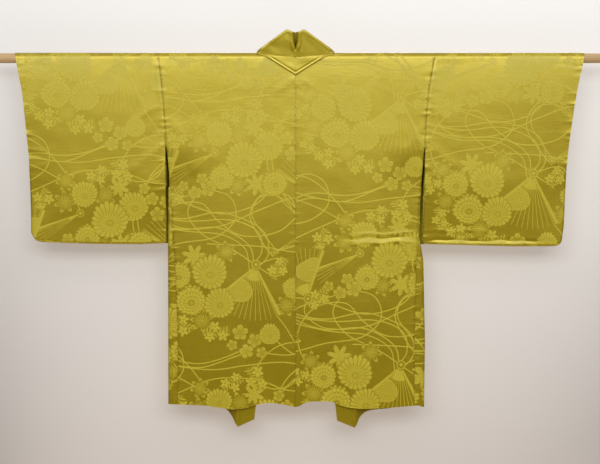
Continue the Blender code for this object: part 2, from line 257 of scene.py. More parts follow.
# One repeat of the woven design, across and along the cloth. Each kind of figure has its rows: place and
# radius in mm, and turn in degrees.
REPEAT = (0.352, 0.600)
FIGURES = {
    "mum": (
        (146, 206, 41, 0), (102, 142, 36, 20), (222, 458, 43, 10), (290, 404, 30, 40), (166, 516, 31, 5),
        (280, 66, 25, 12),
    ),
    "late_mum": (
        (166, 136, 36, 33), (74, 198, 31, 15), (276, 488, 35, 33), (172, 418, 30, 0), (334, 170, 26, 25),
    ),
    "plum": (
        (214, 70, 19, 0), (246, 52, 17, 30), (228, 28, 17, 15), (262, 24, 14, 50), (196, 42, 13, 20),
        (142, 392, 19, 60), (112, 384, 16, 10), (128, 414, 15, 40), (86, 398, 13, 25), (330, 470, 18, 5),
        (318, 504, 16, 65), (348, 498, 15, 35), (300, 528, 14, 55),
    ),
    "fan": (
        (236, 160, 70, 168), (20, 424, 64, 20),
    ),
    "fold": (
        (108, 446, 60, 118), (330, 268, 48, -64),
    ),
    "leaf": (
        (110, 240, 29, -30), (182, 250, 26, 160), (52, 158, 27, 40), (128, 96, 28, -70), (46, 230, 24, 200),
        (250, 402, 28, 15), (208, 398, 24, -120), (214, 512, 27, 75), (122, 498, 27, 110),
        (124, 544, 24, 50), (244, 530, 26, -10), (318, 130, 26, 95), (324, 430, 25, 140),
    ),
    "spray": (
        (160, 70, 31, -75), (80, 88, 30, 240), (40, 120, 26, 20), (70, 500, 30, -35), (250, 564, 32, 30),
        (196, 556, 28, 130), (20, 196, 28, 80), (300, 214, 28, 150), (62, 370, 28, -50),
    ),
}
# Looping cords that run through it, as places across and along in mm
CORDS = (
    (
        (248.8, 220.2), (270, 250), (256, 300), (180, 330), (80, 322), (-10, 342), (-60, 400), (-70, 480),
        (-30, 560), (40, 600), (130, 596), (226, 628),
    ),
    (
        (39.3, 371.1), (34, 336), (80, 304), (170, 308), (262, 346), (340, 372), (430, 362), (520, 336),
        (600, 356), (642, 404),
    ),
    (
        (290.3, 248.7), (262, 286), (238, 334), (262, 376), (316, 372), (352, 326), (430, 300), (520, 296),
        (580, 262), (590, 215),
    ),
    (
        (-72, 66), (-20, 22), (60, -4), (150, -14), (230, -4), (320, 2), (400, -20), (460, -50), (518, -84),
    ),
    (
        (74, 198), (30, 236), (18, 296), (56, 350), (124, 360), (166, 318), (220, 286), (300, 296),
        (362, 346), (436, 372), (494, 392),
    ),
    (
        (248.8, 220.2), (300, 236), (316, 210), (290, 196), (248.8, 220.2),
    ),
    (
        (262, 24), (330, 20), (386, 50), (430, 30), (436, -20), (390, -56), (320, -60), (250, -36),
        (160, -34), (80, -64), (-4, -102),
    ),
    (
        (248.8, 220.2), (196, 256), (128, 290), (96, 340), (130, 384), (188, 376), (204, 326), (160, 284),
        (80, 270), (-6, 250), (-90, 262), (-206, 268),
    ),
    (
        (156.7, 471.9), (136, 540), (92, 600), (30, 644), (-50, 640), (-100, 590), (-76, 545), (-20, 556),
        (-6, 620), (-50, 700), (-116, 760),
    ),
)
# Where on the woven cloth each panel was cut: across and along, for its point on the rod at the centre line
CUT_FROM = {
    "body_left": (0.338, 0.105),
    "body_right": (0.012, 0.330),
    "sleeve_left": (0.640, 0.240),
    "sleeve_right": (-0.285, 0.500),
    "gusset_left": (0.500, 0.200),
    "gusset_right": (0.120, 0.360),
    "collar_left": (0.410, 0.008),
    "collar_right": (0.320, 0.008),
}
# The attributes that hold the distances from the cords, three to each, and the cords that are double
CORD_SETS = ("sweeping_cords", "cords", "looping_cords")
PAIRED = (("sweeping_cords", 0), ("sweeping_cords", 2))
NOWHERE = 9.0  # a place far outside any figure
FIGURE_REACH = 1.45  # how far from its middle a figure is looked for, in its radii
SEED_STEP = 0.618  # the seeds of a kind's figures differ by this, and stay below 1
CORD_HALF, CORD_SHARPNESS = 0.00118, 1800.0


# ---------------------------------------------------------------- sizes and colours


class HaoriSilk(bpy.types.PropertyGroup):
    wall: FloatProperty(
        name="Wall", description="Thickness of one layer of cloth", default=0.0007, subtype="DISTANCE"
    )
    collar_wall: FloatProperty(
        name="Collar wall", description="Thickness of the folded collar",
        default=0.0014, subtype="DISTANCE",
    )
    grain: FloatProperty(
        name="Grid", description="Mesh spacing of the cloth", default=0.0036, subtype="DISTANCE"
    )
    pucker: FloatProperty(
        name="Pucker", description="Height of the puckers along a seam", default=0.0007, subtype="DISTANCE"
    )
    unevenness: FloatProperty(
        name="Unevenness", description="Height of the broad waves of the cloth",
        default=0.0002, subtype="DISTANCE",
    )
    ground: FloatVectorProperty(
        name="Ground", description="Colour of the satin ground",
        default=(0.352, 0.252, 0.003), subtype="COLOR",
    )
    figure: FloatVectorProperty(
        name="Figures", description="Colour of the matt figures",
        default=(0.490, 0.385, 0.018), subtype="COLOR",
    )


class HaoriRod(bpy.types.PropertyGroup):
    chamfer: FloatProperty(
        name="Chamfer", description="Bevel of the rod's ends", default=0.0015, subtype="DISTANCE"
    )
    sides: IntProperty(name="Sides", description="Facets around the rod", default=64)
    pale: FloatVectorProperty(
        name="Early wood", description="Paler grain", default=(0.570, 0.372, 0.198), subtype="COLOR"
    )
    dark: FloatVectorProperty(
        name="Late wood", description="Darker grain", default=(0.462, 0.282, 0.130), subtype="COLOR"
    )


class HaoriStage(bpy.types.PropertyGroup):
    distance: FloatProperty(name="Distance", description="Camera to cloth", default=3.2, subtype="DISTANCE")
    view_width: FloatProperty(
        name="View width", description="Width seen at the cloth", default=1.3452, subtype="DISTANCE"
    )
    centre_across: FloatProperty(
        name="Centre across", description="Middle of the view", default=0.0101, unit="LENGTH"
    )
    centre_level: FloatProperty(
        name="Centre level", description="Middle of the view", default=-0.3912, unit="LENGTH"
    )
    floor_level: FloatProperty(
        name="Floor", description="Level of the floor", default=-1.55, unit="LENGTH"
    )
    wall_depth: FloatProperty(
        name="Wall", description="Depth of the wall behind", default=0.075, unit="LENGTH"
    )


# ---------------------------------------------------------------- small sums


def mix(a, b, share):
    return a + (b - a) * share


def smooth(share):
    share = np.clip(share, 0.0, 1.0)
    return share * share * (3 - 2 * share)


def bump(at, height, width, middle=0.0):
    """A rounded bump of this height round the middle, or a groove below zero."""
    return height * np.exp(-(((at - middle) / width) ** 2))


def row(*parts):
    """A row of places, whose parts are arrays or single numbers."""
    return np.stack(np.broadcast_arrays(*parts), -1)


def along(table, at, spread=0.006):
    """A table's second column where its first has this value, its corners rounded off over spread."""
    keys, values = np.array(sorted(table)).T
    at = np.asarray(at, float)
    shifts = np.linspace(-1, 1, 9)
    weights = 1.1 - np.abs(shifts)
    return sum(w * np.interp(at + spread * s, keys, values) for s, w in zip(shifts, weights)) / weights.sum()


def uneven(across, level, size, seed):
    """Smooth unevenness, mostly between -1 and 1, from a few crossing waves."""
    numbers = np.random.default_rng(seed)
    total = 0.0
    for _ in range(7):
        angle, phase = numbers.uniform(0, math.pi), numbers.uniform(0, 2 * math.pi)
        length = size * numbers.uniform(0.7, 1.9)
        way = across * math.cos(angle) + level * math.sin(angle)
        total = total + np.sin(2 * math.pi * way / length + phase)
    return total / 7 * 1.6


def puckers(level, seed):
    """Sparse bumps along a seam, from 0 to about 1."""
    numbers = np.random.default_rng(seed)
    total = 0.0
    for length in (0.0131, 0.0197, 0.0313, 0.0707):
        total = total + np.sin(2 * math.pi * level / length + numbers.uniform(0, 2 * math.pi))
    return np.clip(total / 2.2, 0, 1) ** 2 - 0.10


# ---------------------------------------------------------------- how the cloth hangs


def relief(settings, side, across, level):
    """How far a hanging wall stands out at these places, from its creases and its broad waves."""
    waver = 0.003 * uneven(across, level, 0.05, 5)
    total = settings.unevenness * uneven(across, level, 0.16, 11 + side)
    total = total + 0.35 * settings.unevenness * uneven(across, level, 0.055, 21 + side)
    for *ends, height, width in CREASES[side]:
        x0, z0, x1, z1 = (end / 1000 for end in ends)
        run = math.hypot(x1 - x0, z1 - z0)
        ahead = ((across - x0) * (x1 - x0) + (level - z0) * (z1 - z0)) / run**2
        aside = ((across - x0) * (z1 - z0) - (level - z0) * (x1 - x0)) / run + waver
        fade = smooth((ahead + 0.08) / 0.3) * smooth((1.08 - ahead) / 0.3)
        total = total + bump(aside, height / 1e6, width / 1000) * fade
    return total * smooth((-0.002 - level) / 0.014)


def seam_relief(settings, apart, level, seed):
    """The groove and the puckers beside a seam, this far from it."""
    pressed = bump(apart, -0.0006, 0.0022) + bump(apart, 0.0002, 0.0030, 0.0060)
    bumps = settings.pucker * puckers(level, seed) * np.exp(-apart / PUCKER_REACH)
    return pressed + bumps * smooth(-level / 0.02)


def band_seam(shape, level):
    """How far across the seam between a front and its collar band lies at this level."""
    foot = shape["foot"]
    return mix(SHOULDER_POINT, foot["seam_across"], np.clip(level / foot["seam_level"], 0, 1))


def body_depth(shape, side, across, outer, level):
    """From the middle plane to a body panel's wall, deepest where the hem hangs lowest."""
    edge = smooth(1 - (outer - across) / 0.12) * smooth((ARMHOLE_END - level) / 0.1)
    depth = mix(PANEL_REACH, mix(BODY_DEPTH, BODY_SIDE_DEPTH, edge), smooth(-level / SETTLE))
    low = np.clip((HEM_MEAN - along(shape["back_hem"], across, 0.010)) / HEM_SPREAD, -HEM_TUCK, 1.0)
    grown = smooth((level / HEM_MEAN - FOLD_START) / (1 - FOLD_START))
    if side < 0:
        return depth + (1 - edge) * HEM_WAVE * low * grown
    seam = band_seam(shape, level)
    return depth - FOOT_TUCK * smooth(1 - (across - seam) / FOOT_TUCK_ACROSS) * smooth((-0.55 - level) / 0.24)


def body_edges(shape, side, level):
    """(outer, inner) edges of a body panel at this level, both counted across."""
    armhole = along(shape["armhole"], level)
    open_side = along(shape["body_side"], level, 0.004)
    seam = along(shape["gusset_seam"], level, 0.012)
    outer = mix(armhole, open_side, smooth((ARMHOLE_END - level) / 0.008))
    outer = mix(outer, seam, smooth((GUSSET_TOP + 0.003 - level) / 0.006))
    if side < 0:
        return outer, mix(0.0, NECK_SIDE, np.clip((level - NECK_LOW) / -NECK_LOW, 0, 1))
    return outer, band_seam(shape, level) - BAND_LAP


def edged(count, close, both=False):
    """Shares of the way across, evenly spaced but for four closer ones along the first edge, or both."""
    near = close * np.arange(1, 5)
    shares = np.concatenate([np.linspace(0, 1, count + 1), near, 1 - near if both else []])
    return np.unique(np.round(shares, 5))


def falling(length, spacing, crease_from, crease_to):
    """Shares of the way down a wall, evenly spaced but for closer ones where a sharp crease lies."""
    even = np.linspace(0, 1, int(length / spacing) + 1)[1:]
    close = np.linspace(crease_from, crease_to, int(length * (crease_to - crease_from) / CREASE_SPACING))
    return np.unique(np.round(np.concatenate([even[(even < crease_from) | (even > crease_to)], close]), 4))


# ---------------------------------------------------------------- the woven design on a piece


def repeats_over(places):
    """The whole-repeat shifts that cover these cloth places."""
    low = np.floor(places.reshape(-1, 2).min(0) / REPEAT).astype(int) - 1
    high = np.floor(places.reshape(-1, 2).max(0) / REPEAT).astype(int) + 1
    for i in range(low[0], high[0] + 1):
        for j in range(low[1], high[1] + 1):
            yield np.array((i * REPEAT[0], j * REPEAT[1]))


def in_nearest_figure(kind, corners):
    """For each face corner, its place in the nearest figure of this kind, in that figure's radii."""
    rows = [(x / 1000, y / 1000, radius / 1000, math.radians(turn)) for x, y, radius, turn in FIGURES[kind]]
    placed = [
        (x + s[0], y + s[1], radius, turn) for s in repeats_over(corners) for x, y, radius, turn in rows
    ]
    centres = corners.mean(1)
    nearest = np.full(len(centres), FIGURE_REACH)
    found = np.full((*corners.shape[:2], 3), NOWHERE)
    for index, (x, y, radius, turn) in enumerate(placed):
        away = np.hypot(centres[:, 0] - x, centres[:, 1] - y) / radius
        near = away < nearest
        nearest[near] = away[near]
        local = (corners[near] - (x, y)) / radius
        c, s = math.cos(turn), math.sin(turn)
        found[near, :, 0] = local[..., 0] * c + local[..., 1] * s
        found[near, :, 1] = local[..., 1] * c - local[..., 0] * s
        found[near, :, 2] = (index % len(rows) * SEED_STEP) % 1.0
    return found


def smooth_run(points, steps=10):
    """A smooth run through listed places in mm."""
    points = [np.array(p) / 1000 for p in (points[0], *points, points[-1])]
    run = []
    for a, b, c, d in zip(points, points[1:], points[2:], points[3:]):
        for t in np.arange(steps) / steps:
            bend, twist = 2 * a - 5 * b + 4 * c - d, 3 * b - a - 3 * c + d
            run.append(0.5 * (2 * b + (c - a) * t + bend * t**2 + twist * t**3))
    run.append(points[-1])
    return np.array(run)


def off_cord(cord, corners):
    """Signed distance of each face corner from the nearest stretch of a cord."""
    run = smooth_run(cord)
    shifts = list(repeats_over(corners))
    starts = np.concatenate([run[:-1] + shift for shift in shifts])
    ends = np.concatenate([run[1:] + shift for shift in shifts])
    tree = kdtree.KDTree(len(starts))
    for index, (x, y) in enumerate((starts + ends) / 2):
        tree.insert((x, y, 0.0), index)
    tree.balance()
    nearest = np.array([tree.find((x, y, 0.0))[1] for x, y in corners.mean(1)])
    a, b = starts[nearest][:, None], ends[nearest][:, None]
    length = np.maximum(np.linalg.norm(b - a, axis=2, keepdims=True), 1e-9)
    way = (b - a) / length
    off = corners - a
    ahead = (off * way).sum(2).mean(1)
    past_end = (ahead < -0.006) | (ahead > length[:, 0, 0] + 0.006)
    distance = off[..., 0] * way[..., 1] - off[..., 1] * way[..., 0]
    distance[past_end] = NOWHERE
    return distance


def store(mesh, name, values):
    layer = mesh.attributes.new(name, "FLOAT_VECTOR", "CORNER")
    layer.data.foreach_set("vector", np.ascontiguousarray(values, np.float32).ravel())


def weave_in(mesh, corners, plain):
    """Stores where each face corner lies in the woven design, of which the plain faces show none."""
    layers = {kind: in_nearest_figure(kind, corners) for kind in FIGURES}
    for place, name in enumerate(CORD_SETS):
        three = CORDS[3 * place : 3 * place + 3]
        layers[name] = np.stack([off_cord(cord, corners) for cord in three], axis=-1)
    for name, values in layers.items():
        values[plain] = NOWHERE
        store(mesh, name, values)
    store(mesh, "threads", np.concatenate([corners, np.zeros((*corners.shape[:2], 1))], axis=-1))


# ---------------------------------------------------------------- making a sheet


def sheet_mesh(name, node, places, cloth, seam, plain, ring=False):
    """A mesh from a grid of places, with the cloth's own coordinates and its distance from a seam, which the
    silk turns into painted shade; below zero it marks painted shade alone.

    The design leaves out the places that are plain.
    """
    cloth = cloth + np.array(CUT_FROM[node])
    rows, columns = places.shape[:2]
    index = np.arange(rows * columns).reshape(rows, columns)
    quads = np.stack([index[:-1, :-1], index[:-1, 1:], index[1:, 1:], index[1:, :-1]], axis=-1).reshape(-1, 4)
    mesh = bpy.data.meshes.new(name)
    mesh.from_pydata(places.reshape(-1, 3).tolist(), [], quads.tolist())
    weave_in(mesh, cloth.reshape(-1, 2)[quads], plain[:-1, :-1].ravel())
    layer = mesh.attributes.new("seam", "FLOAT", "POINT")
    layer.data.foreach_set("value", seam.astype(np.float32).ravel())
    bm = bmesh.new()
    bm.from_mesh(mesh)
    if ring:
        bmesh.ops.remove_doubles(bm, verts=bm.verts, dist=0.00002)
        bmesh.ops.dissolve_degenerate(bm, dist=0.00001, edges=bm.edges)
    bmesh.ops.recalc_face_normals(bm, faces=bm.faces)
    bm.to_mesh(mesh)
    bm.free()
    return mesh


def thicken(piece, wall):
    """Gives the sheet its wall and keeps the result as a plain mesh."""
    solidify = piece.modifiers.new("wall", "SOLIDIFY")
    solidify.thickness = wall
    solidify.offset = 0.0
    settle(piece)


def settle(piece):
    """Replaces an object's mesh by what its modifiers make of it."""
    bpy.context.view_layer.update()
    graph = bpy.context.evaluated_depsgraph_get()
    made = bpy.data.meshes.new_from_object(
        piece.evaluated_get(graph), preserve_all_data_layers=True, depsgraph=graph
    )
    piece.modifiers.clear()
    if piece.type == "MESH":
        piece.data = made
        return piece
    name = piece.name
    bpy.data.objects.remove(piece)
    return add_piece(name, made)


def add_piece(name, mesh):
    piece = bpy.data.objects.new(name, mesh)
    bpy.context.scene.collection.objects.link(piece)
    return piece


def sew(kind, node, grid, wall, rests_on, ring=False, **cut):
    """Makes the left and the right piece of this kind, in place of their nodes."""
    settings = bpy.context.scene.haori_silk
    for side in SHAPES:
        mesh = sheet_mesh(f"{kind}_{side}", f"{node}_{side}", *grid(settings, side), ring=ring)
        piece = add_piece(f"{kind}_{side}", mesh)
        thicken(piece, wall)
        piece.data.materials.clear()
        piece.data.materials.append(silk(f"damask_{node}"))
        piece.data.shade_smooth()
        piece.data.set_sharp_from_angle(angle=math.radians(50))
        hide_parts(f"{node}_{side}")
        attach(piece, "root")


# ---------------------------------------------------------------- the sewn pieces


def body_grid(settings, side_name):
    """Places, cloth coordinates and seam distances of a body panel, from back hem to front hem."""
    shape = SHAPES[side_name]
    sign = shape["sign"]
    share = edged(int(PANEL_ACROSS / settings.grain), 0.0035, both=True)
    down = falling(PANEL_DROP, settings.grain, *PANEL_CREASE)
    turns = np.linspace(-math.pi / 2, math.pi / 2, 17)
    places, cloth, seam = [], [], []

    def hanging(side, fall):
        hem = shape["back_hem"] if side < 0 else shape["front_hem"]
        outer, inner = body_edges(shape, side, HEM_MEAN)
        level = fall * along(hem, mix(outer, inner, share), 0.008)
        outer, inner = body_edges(shape, side, level)
        across = mix(outer, inner, share)
        depth = body_depth(shape, side, across, outer, level) + relief(settings, side, sign * across, level)
        depth = depth + seam_relief(settings, outer - across, level, shape["seam_seed"])
        if side < 0:
            depth = depth + 0.4 * seam_relief(settings, across, level, 51) * smooth((FLAP_TIP - level) / 0.02)
        places.append(row(sign * across, side * depth, level))
        cloth.append(row(sign * across, side * (math.pi / 2 * PANEL_REACH - level)))
        inner_apart = across - inner if side < 0 else FAR_FROM_SEAM
        seam.append(np.minimum(outer - across, inner_apart))

    for fall in down[::-1]:
        hanging(-1, fall)
    for turn in turns:
        level = PANEL_REACH * math.cos(turn)
        outer, _ = body_edges(shape, 0, level)
        start = np.clip(1 + turn / (math.pi / 2), 0, 1)
        inner = mix(NECK_SIDE, SHOULDER_POINT - BAND_LAP, smooth(start))
        across = mix(outer, inner, share)
        places.append(row(sign * across, PANEL_REACH * math.sin(turn), level))
        cloth.append(row(sign * across, PANEL_REACH * turn))
        seam.append(outer - across)
    for fall in down:
        hanging(1, fall)
    places = np.array(places)
    by_band = np.abs(places[..., 0]) < shape["foot"]["seam_across"] + CORNER_ACROSS
    in_front = np.arange(len(places))[:, None] > len(places) / 2
    plain = by_band & (places[..., 2] < CORNER_LEVEL) & in_front
    return places, np.array(cloth), np.array(seam), plain


def sleeve_grid(settings, side_name):
    """The same of a sleeve, which closes in a ring under its bottom edge."""
    shape = SHAPES[side_name]
    sign = shape["sign"]
    foot = SLEEVE_FOOT
    inward = foot * (1 - np.sin(np.linspace(0, math.pi / 2, 7)[1:]))
    share = edged(int(SLEEVE_ACROSS / settings.grain), 0.0032)
    down = falling(SLEEVE_DROP, settings.grain, *SLEEVE_CREASE)
    rows = [(-1, fall, 0.0) for fall in down[::-1]]
    rows += [(0, 0.0, turn) for turn in np.linspace(-math.pi / 2, math.pi / 2, 17)]
    rows += [(1, fall, 0.0) for fall in down]
    rows += [(2, 1.0, turn) for turn in np.linspace(0, math.pi, 9)[1:]]
    places, cloth, seam = [], [], []
    for side, fall, turn in rows:
        rough = PANEL_REACH * math.cos(turn) if side == 0 else SLEEVE_LOW * fall
        outer = along(shape["cuff"], rough, 0.010)
        inner = along(shape["armhole"], rough)
        beside_body = along(shape["body_side"], rough, 0.004) - 0.0012
        behind = mix(inner, beside_body, smooth((ARMHOLE_END - rough) / 0.012))
        inner = mix(inner, behind, {-1: 0.0, 0: 0.0, 1: 1.0, 2: 1 - turn / math.pi}[side])
        across = np.concatenate([mix(inner, outer - foot, share), outer - inward])
        if side == 0:
            places.append(row(sign * across, PANEL_REACH * math.sin(turn), rough))
            cloth.append(row(sign * across, PANEL_REACH * turn))
            seam.append(across - inner)
            continue
        bottom = along(shape["sleeve_bottom"], across, 0.005)
        level = fall * (bottom + foot)
        flat = mix(BODY_DEPTH, CUFF_DEPTH, np.clip((across - inner) / (outer - inner), 0, 1))
        settle_over = mix(SETTLE, SLEEVE_SETTLE, smooth((across - inner) / SLEEVE_SETTLE_OVER))
        hang = mix(PANEL_REACH, flat, smooth(-level / settle_over))
        depth = mix(hang, foot, smooth((level - bottom * NARROW_FROM) / (bottom * (1 - NARROW_FROM))))
        facing = 1 if side == 2 and turn < math.pi / 2 else -1 if side == 2 else side
        rise = relief(settings, facing, sign * across, level)
        rise = rise + seam_relief(settings, across - inner, level, shape["seam_seed"])
        cuff_puckers = puckers(level, shape["cuff_seed"])
        rise = rise + settings.pucker * cuff_puckers * np.exp((across - outer) / CUFF_PUCKER_REACH)
        y = side * (depth + rise)
        if side == 2:
            y = (foot + rise * abs(math.cos(turn))) * math.cos(turn)
            level = level - foot * math.sin(turn)
        left = np.clip((outer - across) / foot, 0, 1)
        rounded = np.sqrt(1 - (1 - left) ** 2)
        near_edge = smooth(1 - (outer - across) / 0.09)
        slim = np.minimum(1.0, mix(1.0, foot / np.maximum(np.abs(y), foot), near_edge))
        sewn = smooth((CUFF_END - level) / CUFF_TAPER)
        places.append(row(sign * across, y * mix(1.0, rounded * slim, sewn), level))
        v = side * (math.pi / 2 * PANEL_REACH - level) if side != 2 else CLOTH_AT_FOLD + foot * turn
        cloth.append(row(sign * across, v))
        # Painted shade: the front wall behind the opening under the armhole is darkened, standing for the
        # shadow in the opening
        back_edge = along(shape["armhole"], level) + 0.0022
        in_shade = smooth((ARMHOLE_END - level) / 0.012) * smooth((back_edge - across) / 0.0012) * (side > 0)
        shade = mix(OPENING_SHADES[0], OPENING_SHADES[1], smooth((GUSSET_TOP + 0.003 - level) / 0.02))
        shade = mix(shade, OPENING_SHADES[2], smooth((-0.320 - level) / 0.07))
        seam.append(mix(across - inner, shade, in_shade))
    places[-1] = places[0]
    places = np.array(places)
    return places, np.array(cloth), np.array(seam), np.zeros(places.shape[:2], bool)


def gusset_grid(settings, side_name):
    """The wedge between back and front, folded along the garment's side."""
    shape = SHAPES[side_name]
    sign = shape["sign"]
    hem = float(along(shape["back_hem"], 0.27, 0.008))
    top = GUSSET_TOP - 0.002
    turns = math.pi * (np.linspace(0, 1, 17) - 0.5)
    places, cloth, seam = [], [], []
    for fall in np.linspace(0, 1, int(GUSSET_DROP / settings.grain) + 1):
        rough = mix(top, hem, fall)
        inner = float(along(shape["gusset_seam"], rough, 0.012))
        outer = max(float(along(shape["body_side"], rough, 0.004)), inner + 0.002)
        across = mix(inner, outer, np.cos(turns) ** 0.6)
        level = mix(top, along(shape["back_hem"], across, 0.003), fall)
        back, front = (relief(settings, wall, sign * across, level) for wall in (-1, 1))
        rise = np.where(turns < 0, back, front)
        beside_seam = seam_relief(settings, across - inner, level, shape["seam_seed"])
        depth = BODY_SIDE_DEPTH + (rise + beside_seam)
        swell = np.sign(turns) * np.abs(np.sin(turns)) ** 0.6
        places.append(row(sign * across, depth * swell, level))
        cloth.append(row(0.022 * turns / math.pi * 2, level))
        seam.append(across - inner)
    places = np.array(places)
    return places, np.array(cloth), np.array(seam), np.zeros(places.shape[:2], bool)


def peak_outline(across):
    """Level of the collar's top edge, which climbs from the shoulder to a rounded peak beside the slit."""
    total = 0.0
    shifts = np.linspace(-0.005, 0.005, 7)
    for shift in shifts:
        at = np.abs(across + shift)
        peak = mix(NOTCH_LEVEL, PEAK_LEVEL, smooth((at - SLIT_TOP) / (PEAK_ACROSS - SLIT_TOP)))
        slope = mix(PEAK_LEVEL, COLLAR_REACH, (at - PEAK_ACROSS) / (SHOULDER_POINT - PEAK_ACROSS))
        total = total + np.where(at < PEAK_ACROSS, peak, slope)
    return total / len(shifts)


def collar_grid(settings, side_name):
    """Half of the collar: the flap on the back, up to the peak, down behind it and down the front."""
    shape = SHAPES[side_name]
    sign = shape["sign"]
    foot = shape["foot"]
    share = np.linspace(0, 1, COLLAR_COLUMNS)
    flap = [("flap", EDGE_SHARE * k / EDGE_ROWS) for k in range(EDGE_ROWS)]
    flap += [("flap", 1 - (1 - EDGE_SHARE) * (1 - k / FLAP_ROWS) ** 1.5) for k in range(FLAP_ROWS)]
    rise = [("rise", (k / RISE_ROWS) ** 1.4) for k in range(RISE_ROWS)] + [("rise", 0.994), ("rise", 1.0)]
    fall = [("fall", 1 - k / FALL_ROWS) for k in range(FALL_ROWS + 1)]
    turn = [("turn", math.radians(angle)) for angle in (46, 56, 66, 76, 84)]
    front = [("front", k / FRONT_ROWS) for k in range(FRONT_ROWS + 1)]
    crest_row = len(flap + rise) - 2
    first_below = len(flap + rise + fall)
    top = SHOULDER_POINT * share
    crest = np.maximum(peak_outline(top), COLLAR_REACH)
    tall = smooth((crest - COLLAR_REACH) / 0.005)
    fold_level = 0.0005 + 0.0095 * (1 - np.cos(math.pi * share)) / 2
    fold_way = COLLAR_REACH * np.arcsin(fold_level / COLLAR_REACH)
    fold_depth = -COLLAR_REACH * np.cos(fold_way / COLLAR_REACH)
    crest_depth = (fold_depth - COLLAR_LEAN * (crest - fold_level)) * tall
    places, along_band = [], []
    for kind, amount in flap + rise + fall + turn + front:
        if kind == "flap":
            low = np.minimum(mix(FLAP_TIP, FLAP_END, share), fold_level - 0.0015)
            way = mix(low, fold_way, amount)
            angle = np.maximum(way, 0) / COLLAR_REACH - math.pi / 2
            from_edge = way - low
            lift = bump(from_edge, -0.0004, 0.0022, 0.0066) + bump(from_edge, -0.0006, 0.0016)
            lift = lift - 0.0002 * smooth((fold_way - way) / 0.035) + bump(top, -0.0005, 0.002)
            lift = lift + FLAP_UNEVENNESS * uneven(top * sign, way, 0.030, 81)
            reach = COLLAR_REACH + lift
            y, z = reach * np.sin(angle), reach * np.cos(angle) + np.minimum(way, 0)
            shoulder = mix(FLAP_END_ACROSS, SHOULDER_POINT, smooth(way / COLLAR_REACH))
            across = shoulder * share
        elif kind == "turn":
            y, z = COLLAR_REACH * math.sin(amount), COLLAR_REACH * math.cos(amount)
            across = top
        elif kind == "rise":
            angle = mix(fold_way / COLLAR_REACH - math.pi / 2, 0.0, amount)
            straight_y, straight_z = mix(fold_depth, crest_depth, amount), mix(fold_level, crest, amount)
            y = mix(COLLAR_REACH * np.sin(angle), straight_y, tall)
            z = mix(COLLAR_REACH * np.cos(angle), straight_z, tall)
            opening = SLIT_TOP * smooth((z - 0.014) / 0.022)
            across = top + opening * (1 - share)
            off_slit = np.clip((across - opening) / 0.010, 0, 1)
            lip = 0.0012 * np.sin(math.pi * off_slit) + bump(off_slit, -0.0020, 0.16)
            lip = lip * smooth((z - 0.012) / 0.012)
            edge = bump(crest - z, 0.0002, 0.0025, 0.004)
            ripple = RISE_UNEVENNESS * uneven(across * sign, z, 0.030, 91) * np.sin(math.pi * amount)
            y = y - tall * (lip + edge + ripple)
        elif kind == "fall":
            across = top
            deep = bump(across, SLIT_BACKING, 0.016) * tall
            low_z = math.sqrt(COLLAR_REACH**2 - FALL_FOOT**2)
            y = mix(FALL_FOOT, crest_depth + CREST_THICKNESS * tall + deep, amount)
            z = mix(low_z, np.maximum(crest - 0.001 * tall, low_z), amount)
        else:
            fold = foot["fold_across"] * amount
            seam_across = mix(SHOULDER_POINT, foot["seam_across"], amount)
            level = mix(foot["fold_level"], foot["seam_level"], share)
            across = mix(fold, seam_across, share)
            z = amount * level
            outer = body_edges(shape, 1, z)[0]
            panel = body_depth(shape, 1, seam_across - BAND_LAP, outer, z)
            y = panel + COLLAR_REACH - PANEL_REACH + (0.0004 + BAND_TURN_OUT * (1 - share)) * amount
            y = y + relief(settings, 1, sign * across, z) * smooth(amount * 5)
        places.append(row(sign * across, y, z))
        stretches = np.hypot(np.diff(across), np.diff(z + 0 * share))
        along_band.append(np.concatenate([[0.0], np.cumsum(stretches)]))
    places = np.array(places)
    middle = places[:, len(share) // 2]
    length = np.concatenate([[0.0], np.cumsum(np.linalg.norm(np.diff(middle, axis=0), axis=1))])
    cloth = np.stack([sign * np.array(along_band), np.repeat(length[:, None], len(share), 1)], -1)
    at = np.arange(len(places))[:, None] + 0 * share
    # Painted shade on the rows at the collar's crest, which dims their highlight
    seam = np.where((at >= crest_row) & (at <= crest_row + 2), CREST_SHADE, FAR_FROM_SEAM)
    plain = (at < first_below) | (at >= len(places) - BAND_PLAIN_ROWS)
    return places, cloth, seam, plain


# ---------------------------------------------------------------- sums inside a material


def feed(tree, node, values):
    """Sets a node's inputs, by name or place, to sockets, terms or plain values."""
    for key, value in values.items():
        value = value.socket if isinstance(value, Term) else value
        if isinstance(value, bpy.types.NodeSocket):
            tree.links.new(value, node.inputs[key])
        else:
            node.inputs[key].default_value = value


def add_node(tree, kind, values, **settings):
    """A new node with these settings and inputs."""
    node = tree.nodes.new(kind)
    for name, value in settings.items():
        setattr(node, name, value)
    feed(tree, node, values)
    return node


def one_step(operation):
    """A method that does this operation on a term and what it is given."""
    return lambda self, *others: self.calc(operation, *others)


class Term:
    """A number in a node tree, so that a pattern can be written as a sum."""

    def __init__(self, tree, socket):
        self.tree, self.socket = tree, socket

    def calc(self, operation, *others, clamp=False):
        values = dict(enumerate((self, *others)))
        node = add_node(self.tree, "ShaderNodeMath", values, operation=operation, use_clamp=clamp)
        return Term(self.tree, node.outputs[0])

    __add__ = __radd__ = one_step("ADD")
    __sub__ = one_step("SUBTRACT")
    __mul__ = __rmul__ = one_step("MULTIPLY")
    __pow__ = one_step("POWER")
    size = one_step("ABSOLUTE")
    cos = one_step("COSINE")
    sin = one_step("SINE")
    fraction = one_step("FRACT")
    most = one_step("MAXIMUM")
    least = one_step("MINIMUM")

    def __rsub__(self, other):
        return self.calc("MULTIPLY_ADD", -1.0, other)

    def between(self):
        """Kept between 0 and 1."""
        return self.calc("ADD", 0.0, clamp=True)

    def inside(self, softness=0.06):
        """1 where the number is above zero and 0 where it is below, with a soft edge."""
        return (self * (1 / softness) + 0.5).between()


